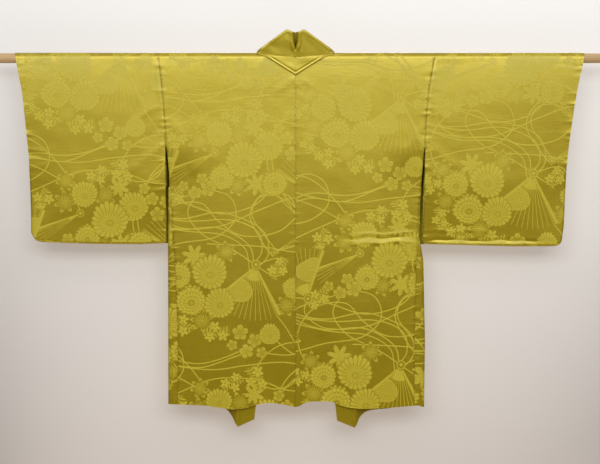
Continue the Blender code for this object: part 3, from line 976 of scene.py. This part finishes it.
def polar(x, y):
    """The distance and the angle round the middle."""
    return (x * x + y * y) ** 0.5, x.calc("ARCTAN2", y)


def leaning(x, y, lean):
    """The same round a middle that leans away, for a blossom seen a little from one side."""
    return polar(x, y + (1.0 - (x * x + y * y)).between() * lean)


def with_knob(x, y, whole, tone):
    """A fan's region and tone with the knob where its sticks meet."""
    around = (x * x + y * y) ** 0.5
    knob = (0.15 - around).inside(0.03)
    hole = (0.035 - (around - 0.085).size()).inside(0.03)
    return whole.most(knob), tone * (1.0 - knob) + knob * (1.0 - hole * 0.9)


def draw_mum(x, y, seed):
    """A chrysanthemum seen a little from one side: rings of petals, long or short, round a button."""
    r, angle = leaning(x, y, 0.20)
    ragged = (angle * 3.0 + seed * 9.0).sin() * 0.030 + (angle * 8.0 + seed * 31.0).sin() * 0.022
    wave, inner_wave = (angle * 10.0).cos().size(), (angle * 10.0 + 1.5708).cos().size()
    edge = wave**0.6 * 0.15 + ragged + 0.80
    split = (0.27 - wave * (r + 0.10)).inside(0.22) * (r - 0.56).inside(0.1)
    rib = (0.12 - inner_wave).inside(0.14) * (r - 0.66).inside(0.06) * (edge - 0.16 - r).inside(0.06)
    inner_edge = (0.030 - (r - 0.42 - inner_wave * 0.13).size()).inside(0.04)
    inner_split = (0.24 - inner_wave * (r + 0.3)).inside(0.2)
    inner_split = inner_split * (0.50 - r).inside(0.06) * (r - 0.22).inside(0.05)
    long_petals = (split * 0.75 + rib * 0.25 + inner_edge * 0.55 + inner_split * 0.6).between()
    ringed = r * 4.4 + (angle * 2.0 + seed * 12.0).sin() * 0.12
    row = ringed.calc("FLOOR")
    scale_wave = (angle * 9.0 + row * 1.5708).cos().size()
    tip = (ringed.fraction() - 0.62 - scale_wave * 0.30).inside(0.14)
    scale_side = (0.26 - scale_wave * (r + 0.2)).inside(0.2)
    scales = (tip * 0.7 + scale_side * 0.6).between()
    pick = (seed - 0.5).inside(0.02)
    marks = long_petals * (1.0 - pick) + scales * pick
    button = (0.028 - (r - 0.15).size()).inside(0.03) * 0.8
    outer = (r - 0.54).inside(0.06)
    inner_shade = ((r - 0.16) * 2.6).between() * 0.3 + 0.7
    shade = outer * (((r - 0.56) * 3.0).between() * 0.24 + 0.76) + (1.0 - outer) * inner_shade
    tone = (edge - r).inside(0.06) * (1.0 - (marks + button).between())
    return (edge + 0.06 - r).inside(), tone * (shade * (1.0 - pick) + pick)


def draw_plum(x, y, seed):
    """A plum blossom: five round petals with pale rims, an eye and its stamens."""
    r, angle = leaning(x, y, 0.10)
    wave = (angle * 2.5).cos().size()
    edge = wave**0.55 * 0.46 + (angle * 12.5 + seed * 20.0).sin() * 0.02 + 0.46
    eye = (0.06 - (r - 0.19).size()).inside(0.06)
    stamens = (0.45 - (angle * 10.0).cos().size()).inside(0.4)
    stamens = stamens * (r - 0.27).inside(0.05) * (0.52 - r).inside(0.05)
    parted = (0.20 - wave).inside(0.2) * (r - 0.30).inside(0.1)
    rim = (0.035 - (edge - 0.20 - r).size()).inside(0.04)
    pale = (r - edge + 0.20).inside(0.10) * 0.34 + 0.66
    tone = (edge - r).inside(0.1) * (1.0 - (eye * 0.8 + stamens * 0.6 + parted * 0.8 + rim * 0.5).between())
    return (edge + 0.12 - r).inside(), tone * pale


def draw_leaf(x, y, seed):
    """A maple leaf of seven lobes, drawn in a double outline or filled with its veins left out."""
    r, angle = polar(x, y)
    wave = (angle * 3.5).cos().size()
    edge = wave**1.4 * 0.60 + (angle * 17.5).cos().size() * 0.06 + 0.31
    body = (edge - r).inside(0.07)
    inner = (edge - 0.13 - r).inside(0.07)
    core = (edge * 0.62 - 0.08 - r).inside(0.07)
    vein = (0.045 - r * (angle * 3.5).sin().size()).inside(0.05) * (r - 0.06).inside(0.06)
    outlined = body - inner + core * 0.35 + vein * inner * 0.75
    filled = body * (1.0 - vein * 0.7) * 0.9
    pick = (seed - 0.22).inside(0.02)
    return (edge + 0.05 - r).inside(), (outlined * pick + filled * (1.0 - pick)).between()


def star(x, y, radius, turn):
    """How far inside a small pointed blossom a place is, and its eye."""
    r, angle = polar(x, y)
    edge = (angle * 2.5 + turn).cos().size() ** 1.3 * (radius * 0.62) + radius * 0.38
    return edge - r, (radius * 0.16 - r).inside(0.03)


def draw_spray(x, y, seed):
    """A twig with small pointed leaves and three starry blossoms."""
    bent = x - (y * 2.4 + seed * 3.0).sin() * 0.14
    cell = (y * 4.3 + 20.0).fraction() - 0.5
    across = bent.size() - 0.20
    up = cell * 0.23 - across * 0.45
    leaf = 1.0 - ((across * 5.6) ** 2.0 + (up * 15.0) ** 2.0)
    length = (0.98 - y.size()).inside(0.05)
    leaves = (leaf * 0.2).inside(0.08) * length * 0.85
    stem = (0.035 - bent.size()).inside(0.04) * length * 0.8
    first, first_eye = star(x - 0.36, y - 0.42, 0.42, 0.0)
    second, second_eye = star(x + 0.42, y - 0.02, 0.40, 1.5708)
    third, third_eye = star(x - 0.22, y + 0.52, 0.38, 1.5708)
    blossom = first.most(second).most(third)
    eyes = first_eye.most(second_eye).most(third_eye)
    halo = (blossom + 0.05).inside(0.04)
    twig = leaves.most(stem)
    tone = twig * (1.0 - halo) + blossom.inside(0.04) * (1.0 - eyes * 0.8)
    return halo.most(((leaf + 0.5) * 0.2).inside(0.08) * length).most(stem), tone


def draw_fan(x, y, _):
    """An open folding fan: a knob, fine ribs, and a leaf with a cloud of mesh on it."""
    up = y + 0.88
    r, angle = polar(x, up)
    wedge = (0.70 - angle.size()).inside(0.02)
    whole = wedge * (1.78 - r).inside(0.03) * (r - 0.16).inside(0.03)
    rib = (0.30 - (angle * 31.4).sin().size() * (r + 0.10)).inside(0.14) * (r - 0.40).inside(0.1)
    grip = (0.50 - r).inside(0.04) * (0.46 - angle.size()).inside(0.04)
    guard = (0.05 - (angle.size() - 0.66).size() * r).inside(0.04)
    puff = (x * 9.0 + y * 4.0).sin() * 0.10
    cloud_at = 1.0 + puff - (((x - 0.46) * 1.9) ** 2.0 + ((y - 0.02) * 2.7) ** 2.0)
    cloud = cloud_at.inside(0.12)
    mesh = ((x + y) * 40.0).sin() * ((x - y) * 40.0).sin()
    filled = cloud * (mesh * 0.30 + 0.62)
    outline = (0.09 - cloud_at.size()).inside(0.08)
    tone = (rib * (1.0 - cloud)).most(filled).most(grip * 0.9).most(guard * 0.9).most(outline * 0.95) * whole
    return with_knob(x, up + 0.02, whole, tone)


def draw_fold(x, y, _):
    """A half-closed fan: its sticks side by side, a broad guard and its knob."""
    up = y + 0.92
    r, angle = polar(x, up)
    whole = (0.17 - angle.size()).inside(0.02) * (1.88 - r).inside(0.03) * (r - 0.10).inside(0.03)
    sticks = (0.34 - (angle * 42.0).sin().size() * (r + 0.1)).inside(0.14) * (r - 0.40).inside(0.08)
    guard = (angle - 0.11).inside(0.02)
    grip = (0.46 - r).inside(0.04)
    dashes = (0.20 - (r * 11.0).sin()).inside(0.25) * (r - 1.0).inside(0.05) * (1.5 - r).inside(0.05)
    tone = whole * (sticks * (1.0 - dashes * 0.5)).most(guard * 0.92).most(grip * 0.9)
    return with_knob(x, up, whole, tone)


DRAWINGS = {
    "mum": draw_mum, "late_mum": draw_mum, "plum": draw_plum, "fan": draw_fan, "fold": draw_fold,
    "leaf": draw_leaf, "spray": draw_spray,
}


def new_group(name, takes, gives):
    """A shader node group with these sockets, and its input and output nodes."""
    tree = bpy.data.node_groups.new(name, "ShaderNodeTree")
    for label, kind, default in takes:
        socket = tree.interface.new_socket(name=label, in_out="INPUT", socket_type=kind)
        if default is not None:
            socket.default_value = default
    for label, kind in gives:
        tree.interface.new_socket(name=label, in_out="OUTPUT", socket_type=kind)
    return tree, tree.nodes.new("NodeGroupInput"), tree.nodes.new("NodeGroupOutput")


def attribute(tree, name, output="Vector"):
    return add_node(tree, "ShaderNodeAttribute", {}, attribute_name=name).outputs[output]


def coordinates(tree, source):
    """The three parts of a vector."""
    return [Term(tree, output) for output in add_node(tree, "ShaderNodeSeparateXYZ", {0: source}).outputs]


def figure_group(kind):
    """The node group that draws one kind of figure from its own coordinates."""
    tree, given, result = new_group(
        f"figure {kind}",
        [("Place", "NodeSocketVector", None)],
        [("Region", "NodeSocketFloat"), ("Tone", "NodeSocketFloat")],
    )
    region, tone = DRAWINGS[kind](*coordinates(tree, given.outputs["Place"]))
    feed(tree, result, {"Region": region, "Tone": tone})
    return tree


def design_group():
    """The whole woven design: 1 on a figure or a cord, 0 on the satin ground."""
    tree, _, result = new_group("woven design", [], [("Figures", "NodeSocketFloat")])
    drawn = None
    u, v, _ = coordinates(tree, attribute(tree, "threads"))
    parting = (u * 23.0 + v * 31.0).sin() * 0.0024 + (u * -41.0 + v * 17.0).sin() * 0.0012 + 0.0044
    for name in CORD_SETS:
        for k, off in enumerate(coordinates(tree, attribute(tree, name))):
            aside = off.size()
            aside = (aside - parting).size() if (name, k) in PAIRED else aside
            line = ((CORD_HALF - aside) * CORD_SHARPNESS + 0.5).between()
            drawn = line if drawn is None else drawn.most(line)
    for kind in ("spray", "leaf", "fold", "fan", "late_mum", "plum", "mum"):
        place = {"Place": attribute(tree, kind)}
        node = add_node(tree, "ShaderNodeGroup", place, node_tree=figure_group(kind))
        region, tone = Term(tree, node.outputs["Region"]), Term(tree, node.outputs["Tone"])
        drawn = drawn * (1.0 - region) + tone * region
    feed(tree, result, {"Figures": drawn})
    return tree


def noise(tree, source, scale, detail=2.0, roughness=0.5, stretch=None):
    """Noise between 0 and 1 on these coordinates."""
    if stretch:
        mapping = add_node(tree, "ShaderNodeMapping", {"Scale": stretch, "Vector": source})
        source = mapping.outputs["Vector"]
    values = {"Vector": source, "Scale": scale, "Detail": detail, "Roughness": roughness}
    return Term(tree, add_node(tree, "ShaderNodeTexNoise", values).outputs["Fac"])


def between_colours(tree, share, first, second):
    """A colour from the first to the second by a share."""
    values = {"Factor": share, "A": first, "B": second}
    return add_node(tree, "ShaderNodeMix", values, data_type="RGBA").outputs["Result"]


def raised(tree, height, strength, distance):
    """The normal of a surface raised by this height."""
    values = {"Height": height, "Strength": strength, "Distance": distance}
    return add_node(tree, "ShaderNodeBump", values).outputs["Normal"]


def silk_group():
    """Colour, roughness, shine of the dye and surface of the damask, from the woven design, with painted
    shade along the seams and where the "seam" attribute is below zero.
    """
    tree, given, result = new_group(
        "damask silk",
        [
            ("Ground", "NodeSocketColor", (0.33, 0.245, 0.014, 1)),
            ("Figures", "NodeSocketColor", (0.5, 0.42, 0.045, 1)),
        ],
        [
            ("Colour", "NodeSocketColor"), ("Roughness", "NodeSocketFloat"), ("Lustre", "NodeSocketFloat"),
            ("Gloss", "NodeSocketFloat"), ("Normal", "NodeSocketVector"),
        ],
    )
    drawn = add_node(tree, "ShaderNodeGroup", {}, node_tree=design_group())
    design = Term(tree, drawn.outputs["Figures"])
    threads = attribute(tree, "threads")
    seam = Term(tree, attribute(tree, "seam", "Fac"))

    grainy = noise(tree, threads, 300.0, 2.0, 0.6, stretch=(1.0, 1.5, 1.0)) - 0.5
    shown = (design * (0.95 + grainy * 0.6)).between()
    colour = between_colours(tree, shown, given.outputs["Ground"], given.outputs["Figures"])

    cloudy = noise(tree, threads, 9.0) - 0.5
    slubs = noise(tree, threads, 26.0, 3.0, 0.6, stretch=(1.0, 13.0, 1.0)) - 0.5
    mottled = noise(tree, threads, 85.0, 2.0, 0.6, stretch=(1.0, 1.6, 1.0)) - 0.5
    weft = noise(tree, threads, 420.0, 2.0, 0.6) - 0.5
    # Painted shade from the seam attribute: a thin darker line along each seam, and deep shade where it is
    # below zero
    painted_shade = (seam * -700.0).calc("EXPONENT")
    light = 1.0 + (cloudy * 0.10 + mottled * 0.12 + slubs * 0.22 + weft * 0.16 - painted_shade * 0.26)
    hue = add_node(tree, "ShaderNodeHueSaturation", {"Value": light, "Color": colour})

    # In the painted shade the silk turns rougher, more metallic and loses its coat, so that it stays a dark
    # olive
    shaded = (painted_shade - 1.0).between()
    rough = design * 0.29 + (0.30 + (cloudy * 0.05 + weft * 0.10)) + shaded * 0.4
    lustre = 0.48 - design * 0.34 + shaded * 0.5
    gloss = 0.30 - (painted_shade * 3.0 - 3.0).between() * 0.30
    height = design * 0.5 + weft * 0.55 + slubs * 0.9
    feed(tree, result, {
        "Colour": hue.outputs["Color"],
        "Roughness": rough.between(),
        "Lustre": lustre.between(),
        "Gloss": gloss,
        "Normal": raised(tree, height, 0.35, 0.0004),
    })
    return tree


def new_material(name):
    """A material, its node tree and its surface."""
    material = bpy.data.materials.new(name)
    material.use_nodes = True
    return material, material.node_tree, material.node_tree.nodes["Principled BSDF"]


def silk(name):
    """The silk of one kind of piece, made once."""
    if name in bpy.data.materials:
        return bpy.data.materials[name]
    settings = bpy.context.scene.haori_silk
    group = bpy.data.node_groups.get("damask silk") or silk_group()
    material, tree, surface = new_material(name)
    colours = {"Ground": (*settings.ground, 1.0), "Figures": (*settings.figure, 1.0)}
    damask = add_node(tree, "ShaderNodeGroup", colours, node_tree=group)
    feed(tree, surface, {
        "Base Color": damask.outputs["Colour"],
        "Roughness": damask.outputs["Roughness"],
        "Metallic": damask.outputs["Lustre"],
        "Normal": damask.outputs["Normal"],
        "Specular IOR Level": 0.42,
        "Coat Weight": damask.outputs["Gloss"],
        "Coat Roughness": 0.20,
        "Sheen Weight": 0.05,
        "Sheen Roughness": 0.40,
        "Sheen Tint": (1.0, 0.93, 0.55, 1.0),
    })
    material.diffuse_color = (*settings.ground, 1.0)
    return material


def wood_material(settings):
    """Planed pale wood with its grain along the rod."""
    material, tree, surface = new_material("planed_wood")
    where = tree.nodes.new("ShaderNodeTexCoord").outputs["Object"]
    grain = noise(tree, where, 30.0, 4.0, 0.6, stretch=(0.12, 4.0, 4.0))
    fibre = noise(tree, where, 160.0, 3.0, 0.7, stretch=(0.05, 6.0, 6.0))
    share = ((grain - 0.5) * 1.9 + (fibre - 0.5) * 0.7 + 0.45).between()
    feed(tree, surface, {
        "Base Color": between_colours(tree, share, (*settings.pale, 1.0), (*settings.dark, 1.0)),
        "Roughness": share * 0.16 + 0.40,
        "Normal": raised(tree, fibre, 0.25, 0.0003),
    })
    return material


# ---------------------------------------------------------------- operators


class HAORI_OT_bodies(bpy.types.Operator):
    """Makes the two body panels, each one length of cloth from back hem to front hem"""

    bl_idname = "haori.bodies"
    bl_label = "Body Panels"

    def execute(self, context):
        wall = context.scene.haori_silk.wall
        sew("panel", "body", body_grid, wall, ["rod"], flat=(0.31, 1.62), area=0.395)
        return {"FINISHED"}


class HAORI_OT_sleeves(bpy.types.Operator):
    """Makes the two sleeves, each a bag hung over the rod"""

    bl_idname = "haori.sleeves"
    bl_label = "Sleeves"

    def execute(self, context):
        wall = context.scene.haori_silk.wall
        sew("bag", "sleeve", sleeve_grid, wall, ["rod"], ring=True, flat=(0.33, 0.87))
        return {"FINISHED"}


class HAORI_OT_gussets(bpy.types.Operator):
    """Makes the two side wedges between back and front"""

    bl_idname = "haori.gussets"
    bl_label = "Gussets"

    def execute(self, context):
        wall = context.scene.haori_silk.wall
        sew("wedge", "gusset", gusset_grid, wall, ["panel_{side}"], flat=(0.052, 0.49), area=0.0175)
        return {"FINISHED"}


class HAORI_OT_collar(bpy.types.Operator):
    """Makes both halves of the folded collar"""

    bl_idname = "haori.collar"
    bl_label = "Collar"

    def execute(self, context):
        wall = context.scene.haori_silk.collar_wall
        sew(
            "band", "collar", collar_grid, wall, ["rod", "panel_{side}"], flat=(0.0875, 0.98), area=0.060
        )
        return {"FINISHED"}


def tube_tree(material):
    """Geometry nodes that turn a rod on its middle line, by the radius of each of its points."""
    tree = bpy.data.node_groups.new("turned rod", "GeometryNodeTree")
    tree.interface.new_socket(name="Line", in_out="INPUT", socket_type="NodeSocketGeometry")
    tree.interface.new_socket(name="Sides", in_out="INPUT", socket_type="NodeSocketInt")
    tree.interface.new_socket(name="Rod", in_out="OUTPUT", socket_type="NodeSocketGeometry")
    given, result = tree.nodes.new("NodeGroupInput"), tree.nodes.new("NodeGroupOutput")
    circle = {"Resolution": given.outputs["Sides"], "Radius": 1.0}
    ring = add_node(tree, "GeometryNodeCurvePrimitiveCircle", circle)
    radius = tree.nodes.new("GeometryNodeInputRadius")
    sweep = add_node(tree, "GeometryNodeCurveToMesh", {
        "Curve": given.outputs["Line"],
        "Profile Curve": ring.outputs["Curve"],
        "Scale": radius.outputs["Radius"],
        "Fill Caps": True,
    })
    real = add_node(tree, "GeometryNodeRealizeInstances", {"Geometry": sweep.outputs["Mesh"]})
    covered = {"Geometry": real.outputs["Geometry"], "Material": material}
    finish = add_node(tree, "GeometryNodeSetMaterial", covered)
    feed(tree, result, {"Rod": finish.outputs["Geometry"]})
    return tree


def set_inputs(modifier, tree, **values):
    """Sets a geometry modifier's inputs by their names in its tree."""
    for item in tree.interface.items_tree:
        if item.item_type == "SOCKET" and item.in_out == "INPUT" and item.name in values:
            modifier[item.identifier] = values[item.name]


class HAORI_OT_rod(bpy.types.Operator):
    """Makes the wooden rod that the haori hangs on"""

    bl_idname = "haori.rod"
    bl_label = "Rod"

    def execute(self, context):
        settings = context.scene.haori_rod
        narrow = ROD_RADIUS - settings.chamfer
        inset = settings.chamfer
        start, end = ROD_LOW[0], ROD_HIGH[0]
        points = (
            (start, narrow), (start + inset * 0.4, narrow + inset * 0.75), (start + inset, ROD_RADIUS),
            (end - inset, ROD_RADIUS), (end - inset * 0.4, narrow + inset * 0.75), (end, narrow),
        )
        curve = bpy.data.curves.new("hanging_rod", "CURVE")
        curve.dimensions = "3D"
        spline = curve.splines.new("POLY")
        spline.points.add(len(points) - 1)
        for point, (x, radius) in zip(spline.points, points):
            point.co = (x, 0.0, 0.0, 1.0)
            point.radius = radius
        rod = bpy.data.objects.new("hanging_rod", curve)
        context.scene.collection.objects.link(rod)
        tree = tube_tree(wood_material(settings))
        modifier = rod.modifiers.new("turned", "NODES")
        modifier.node_group = tree
        set_inputs(modifier, tree, Sides=settings.sides)
        rod = settle(rod)
        rod.data.shade_smooth()
        rod.data.set_sharp_from_angle(angle=math.radians(30))
        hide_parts("rod")
        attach(rod, "root")
        return {"FINISHED"}


class HAORI_OT_stage(bpy.types.Operator):
    """Sets the floor, the wall, the soft lights and the camera"""

    bl_idname = "haori.stage"
    bl_label = "Stage"

    def execute(self, context):
        settings = context.scene.haori_stage
        scene = context.scene
        half, level = FLOOR_REACH, settings.floor_level
        paper, tree, surface = new_material("floor_paper")
        feed(tree, surface, {"Base Color": (0.74, 0.66, 0.55, 1.0), "Roughness": 0.85})
        corners = [(-half, -half, level), (half, -half, level), (half, half, level), (-half, half, level)]
        floor = add_plane("floor", corners, paper)

        back, aside, low = settings.wall_depth, WALL_ACROSS, level + WALL_FOOT
        corners = [(-aside, back, low), (aside, back, low), (aside, back, WALL_TOP), (-aside, back, WALL_TOP)]
        wall = add_plane("wall", corners, wall_paper(settings))
        wall.visible_diffuse = wall.visible_glossy = wall.visible_shadow = False

        camera = bpy.data.cameras.new("camera")
        camera.sensor_fit = "HORIZONTAL"
        camera.sensor_width = 36.0
        camera.lens = 36.0 * settings.distance / settings.view_width
        eye = bpy.data.objects.new("camera", camera)
        eye.location = (settings.centre_across, -settings.distance - SHEET_FRONT, settings.centre_level)
        eye.rotation_euler = (math.pi / 2, 0.0, 0.0)
        scene.collection.objects.link(eye)
        scene.camera = eye

        for lamp in LAMPS:
            add_light(*lamp)
        room_light(scene)
        scene.view_settings.view_transform = "Standard"
        return {"FINISHED"}


def add_plane(name, corners, material):
    mesh = bpy.data.meshes.new(name)
    mesh.from_pydata(corners, [], [(0, 1, 2, 3)])
    mesh.materials.append(material)
    return add_piece(name, mesh)


def backdrop(tree, up):
    """The pale grey of the room behind, with painted shade that makes it a little darker below."""
    share = (up * 3.1 + 0.5).between()
    return between_colours(tree, share, (0.667, 0.591, 0.562, 1.0), (0.935, 0.890, 0.890, 1.0))


def wall_paper(settings):
    """Paper that takes the garment's shadow, and is clear at its borders and from behind. Its colour carries
    painted shade, and it glows with painted light that the garment's shadow doesn't reach.
    """
    material, tree, surface = new_material("wall_paper")
    x, _, z = coordinates(tree, tree.nodes.new("ShaderNodeTexCoord").outputs["Object"])
    away = settings.distance + SHEET_FRONT + settings.wall_depth
    across, up = (x - settings.centre_across) * (1 / away), (z - settings.centre_level) * (1 / away)
    # painted shade: a little darker in the lower corner and toward both sides, and a little lighter toward
    # positive x
    corner = (across.between() * (up * -1.0).between() * 4.3).least(0.12)
    off_centre = (((across - 0.012).size() * 4.55) ** 4.0).between() * (0.15 - up * 0.75).least(0.26)
    # The colour that the lamps light and the glow, both with the backdrop's painted shade; the glow is
    # painted light
    for socket, share in {"Base Color": WALL_PAPER, "Emission Color": WALL_GLOW}.items():
        values = {0: backdrop(tree, up), "Scale": (1.0 + across * 0.15 - off_centre - corner) * share}
        shaded = add_node(tree, "ShaderNodeVectorMath", values, operation="SCALE")
        feed(tree, surface, {socket: shaded.outputs["Vector"]})
    sides = ((FADE_SIDES[0] - x.size()) * FADE_SIDES[1]).between()
    above_foot = z - settings.floor_level - FADE_FOOT[0]
    ends = ((FADE_TOP[0] - z) * FADE_TOP[1]).between() * (above_foot * FADE_FOOT[1]).between()
    front = 1.0 - Term(tree, tree.nodes.new("ShaderNodeNewGeometry").outputs["Backfacing"])
    feed(tree, surface, {
        "Emission Strength": 1.0, "Roughness": 1.0, "Specular IOR Level": 0.0, "Alpha": sides * ends * front,
    })
    material.cycles.emission_sampling = "NONE"
    return material


def add_light(name, place, target, size, watts, colour):
    light = bpy.data.lights.new(name, "AREA")
    light.shape = "RECTANGLE"
    light.size, light.size_y = size
    light.energy = watts
    light.color = colour
    lamp = bpy.data.objects.new(name, light)
    lamp.visible_camera = False
    lamp.location = place
    lamp.rotation_euler = (Vector(target) - Vector(place)).to_track_quat("-Z", "Y").to_euler()
    bpy.context.scene.collection.objects.link(lamp)


def room_light(scene):
    """A pale room, a little darker below than above."""
    world = bpy.data.worlds.new("room")
    scene.world = world
    world.use_nodes = True
    tree = world.node_tree
    _, _, up = coordinates(tree, tree.nodes.new("ShaderNodeTexCoord").outputs["Generated"])
    seen = Term(tree, tree.nodes.new("ShaderNodeLightPath").outputs["Is Camera Ray"])
    share = (up * 1.6 + 0.16).between()
    given = between_colours(tree, share, (0.130, 0.095, 0.055, 1.0), (0.630, 0.610, 0.580, 1.0))
    overhead = (up - 0.5).between() * 0.8 + 1.0
    # Camera rays see the backdrop with its painted shade; other rays get the room's light
    feed(tree, tree.nodes["Background"], {
        "Color": between_colours(tree, seen, given, backdrop(tree, up)),
        "Strength": seen + overhead * (1.0 - seen),
    })


class HAORI_PT_panel(bpy.types.Panel):
    bl_idname = "HAORI_PT_panel"
    bl_label = "Haori"
    bl_space_type = "VIEW_3D"
    bl_region_type = "UI"
    bl_category = "Haori"

    def draw(self, context):
        for operator in OPERATORS:
            self.layout.operator(operator.bl_idname)
        for group in PROPERTIES:
            box = self.layout.box()
            for name in group.__annotations__:
                box.prop(getattr(context.scene, PROPERTIES[group]), name)


OPERATORS = (
    HAORI_OT_bodies, HAORI_OT_sleeves, HAORI_OT_gussets, HAORI_OT_collar, HAORI_OT_rod, HAORI_OT_stage,
)
PROPERTIES = {
    HaoriSilk: "haori_silk",
    HaoriRod: "haori_rod",
    HaoriStage: "haori_stage",
}


def register():
    for group, name in PROPERTIES.items():
        bpy.utils.register_class(group)
        setattr(bpy.types.Scene, name, PointerProperty(type=group))
    for item in (*OPERATORS, HAORI_PT_panel):
        bpy.utils.register_class(item)


def unregister():
    for item in (HAORI_PT_panel, *reversed(OPERATORS)):
        bpy.utils.unregister_class(item)
    for group, name in reversed(PROPERTIES.items()):
        delattr(bpy.types.Scene, name)
        bpy.utils.unregister_class(group)


def main():
    register()
    for operator in OPERATORS:
        place, name = operator.bl_idname.split(".")
        getattr(getattr(bpy.ops, place), name)()


if __name__ == "__main__":
    main()
